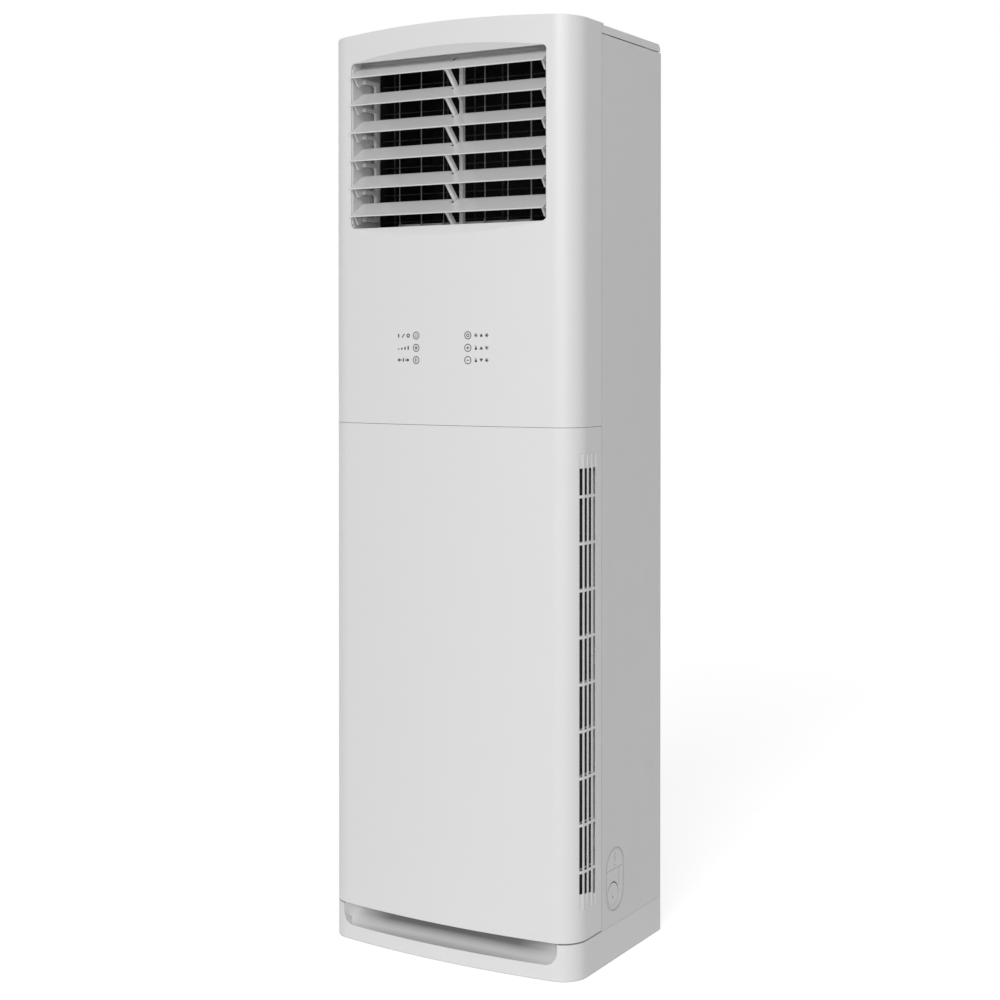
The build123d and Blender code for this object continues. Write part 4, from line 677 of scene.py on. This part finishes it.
# ---- air filters ----
def add_block(made, x0, x1, y0, y1, z0, z1):
    """Closed block in a shape under construction."""
    corners = [(x, y, z) for x in (x0, x1) for y in (y0, y1) for z in (z0, z1)]
    v = [made.verts.new(corner) for corner in corners]
    sides = ((0, 1, 3, 2), (4, 6, 7, 5), (0, 4, 5, 1), (2, 3, 7, 6), (0, 2, 6, 4), (1, 5, 7, 3))
    for side in sides:
        made.faces.new([v[i] for i in side])


def filter_mesh(made, name, side):
    """The finished mesh, on the other side of the cabinet where side is -1."""
    if side < 0:
        for vertex in made.verts:
            vertex.co.x = -vertex.co.x
    bmesh.ops.recalc_face_normals(made, faces=made.faces)
    return mesh_from(made, name)


def filter_frame(side, name):
    """Light moulded frame of a filter: border and cross bars with softened edges."""
    made = bmesh.new()
    x0, x1 = FILTER_X, FILTER_X + FILTER_THICK
    y0, y1, z0, z1 = FILTER_FRONT_Y, FILTER_BACK_Y, FILTER_LOW, FILTER_HIGH
    inner0, inner1 = y0 + FILTER_BORDER, y1 - FILTER_BORDER
    add_block(made, x0, x1, y0, inner0, z0, z1)
    add_block(made, x0, x1, inner1, y1, z0, z1)
    add_block(made, x0, x1, inner0, inner1, z0, z0 + FILTER_BORDER)
    add_block(made, x0, x1, inner0, inner1, z1 - FILTER_BORDER, z1)
    half = FILTER_BAR / 2
    for rib in range(RIB_COUNT):
        z = RIB_FIRST + rib * RIB_PITCH
        add_block(made, x0 + BAR_INSET, x1, inner0, inner1, z - half, z + half)
    mesh = filter_mesh(made, name, side)
    piece = new_piece(name, mesh, FINISH["vane_white"], "front_panel")
    rounding = piece.modifiers.new("edges", "BEVEL")
    rounding.width = BAR_EDGE
    rounding.segments = BAR_EDGE_STEPS
    return piece


def filter_net(side, name):
    """Net of a filter: level threads with upright threads behind them."""
    made = bmesh.new()
    x0 = FILTER_X + NET_INSET
    x1 = x0 + NET_THREAD
    half = NET_THREAD / 2
    y0, y1 = FILTER_FRONT_Y + FILTER_BORDER, FILTER_BACK_Y - FILTER_BORDER
    z0, z1 = FILTER_LOW + FILTER_BORDER, FILTER_HIGH - FILTER_BORDER
    for step in range(1, int((z1 - z0) / NET_PITCH)):
        z = z0 + step * NET_PITCH
        add_block(made, x0, x1, y0, y1, z - half, z + half)
    for step in range(1, int((y1 - y0) / NET_PITCH)):
        y = y0 + step * NET_PITCH
        add_block(made, x0 - half, x0, y - half, y + half, z0, z1)
    mesh = filter_mesh(made, name, side)
    return new_piece(name, mesh, FINISH["black_net"], "front_panel")


def air_filters():
    """Both filters, each a frame and its net in place of the plain solid."""
    for side, hand in ((1, "right"), (-1, "left")):
        edge = filter_frame(side, "filter_frame_" + hand)
        net = filter_net(side, "filter_net_" + hand)
        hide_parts("air_filter_" + hand)


# ---- stage ----
def seen_ray(tree):
    """1 for a ray that shows the background: from the camera, in gloss or through glass."""
    path = tree.nodes.new("ShaderNodeLightPath")
    value = path.outputs["Is Camera Ray"]
    for other in ("Is Glossy Ray", "Is Transmission Ray"):
        most = tree.nodes.new("ShaderNodeMath")
        most.operation = "MAXIMUM"
        tree.links.new(value, most.inputs[0])
        tree.links.new(path.outputs[other], most.inputs[1])
        value = most.outputs["Value"]
    return value


def floor_material():
    """Pale floor that shows white to the camera and keeps the shadow."""
    s = Surface("floor_look", grey(FLOOR_GREY), roughness=0.7)
    s.vary_color(s.noise(scale=3.0), dark=0.99, light=1.01)
    glow = s.node("ShaderNodeEmission")
    glow.inputs["Color"].default_value = WHITE
    s.link(s.math("MULTIPLY", seen_ray(s.tree), FLOOR_GLOW), glow.inputs["Strength"])
    both = s.node("ShaderNodeAddShader")
    s.link(s.shader.outputs["BSDF"], both.inputs[0])
    s.link(glow.outputs["Emission"], both.inputs[1])
    s.link(both.outputs["Shader"], s.tree.nodes["Material Output"].inputs["Surface"])
    return s.material


def stage_floor():
    """Wide floor just under the cabinet."""
    made = bmesh.new()
    bmesh.ops.create_grid(
        made, x_segments=FLOOR_SQUARES, y_segments=FLOOR_SQUARES, size=FLOOR_REACH,
    )
    mesh = mesh_from(made, "stage_floor")
    mesh.materials.append(floor_material())
    floor = bpy.data.objects.new("stage_floor", mesh)
    floor.location.z = -FLOOR_DROP
    bpy.context.scene.collection.objects.link(floor)


def world_light():
    """White surroundings: full white to the camera, softer on the object."""
    world = bpy.data.worlds.new("studio")
    bpy.context.scene.world = world
    world.use_nodes = True
    tree = world.node_tree
    back = tree.nodes["Background"]
    back.inputs["Color"].default_value = WHITE
    strength = tree.nodes.new("ShaderNodeMapRange")
    strength.inputs["To Min"].default_value = WORLD_LEVEL
    strength.inputs["To Max"].default_value = 1.0
    tree.links.new(seen_ray(tree), strength.inputs["Value"])
    tree.links.new(strength.outputs["Result"], back.inputs["Strength"])


def add_lamp(lamp, toward):
    """Puts a lamp in the scene, with its light coming from the direction given."""
    made = bpy.data.objects.new(lamp.name, lamp)
    made.rotation_euler = (-toward).to_track_quat("-Z", "Y").to_euler()
    bpy.context.scene.collection.objects.link(made)
    return made


def key_light():
    """Far lamp, turned to the right of the front and raised."""
    lamp = bpy.data.lights.new("key_light", "SUN")
    lamp.energy = SUN_STRENGTH
    lamp.angle = SUN_SPREAD
    across, up = math.radians(SUN_TURN), math.radians(SUN_RISE)
    level = math.cos(up)
    add_lamp(lamp, Vector((math.sin(across) * level, -math.cos(across) * level, math.sin(up))))


def side_light():
    """Large soft lamp on the right."""
    lamp = bpy.data.lights.new("side_light", "AREA")
    lamp.shape = "RECTANGLE"
    lamp.size, lamp.size_y = SIDE_SIZE
    lamp.energy = SIDE_POWER
    add_lamp(lamp, Vector(SIDE_PLACE) - Vector(SIDE_TARGET)).location = SIDE_PLACE


def camera():
    """The photograph's viewpoint."""
    lens = bpy.data.cameras.new("camera")
    lens.lens = CAMERA_LENS
    lens.sensor_width = CAMERA_SENSOR
    lens.shift_y = CAMERA_SHIFT
    lens.clip_start, lens.clip_end = CAMERA_CLIP
    made = bpy.data.objects.new("camera", lens)
    made.location = CAMERA_PLACE
    made.rotation_euler = (math.radians(90 - CAMERA_DIP), 0, math.radians(CAMERA_TURN))
    bpy.context.scene.collection.objects.link(made)
    bpy.context.scene.camera = made


bpy.context.scene.view_settings.view_transform = "Standard"
camera()
world_light()
stage_floor()
key_light()
side_light()
dress_nodes()
key_print()
air_filters()
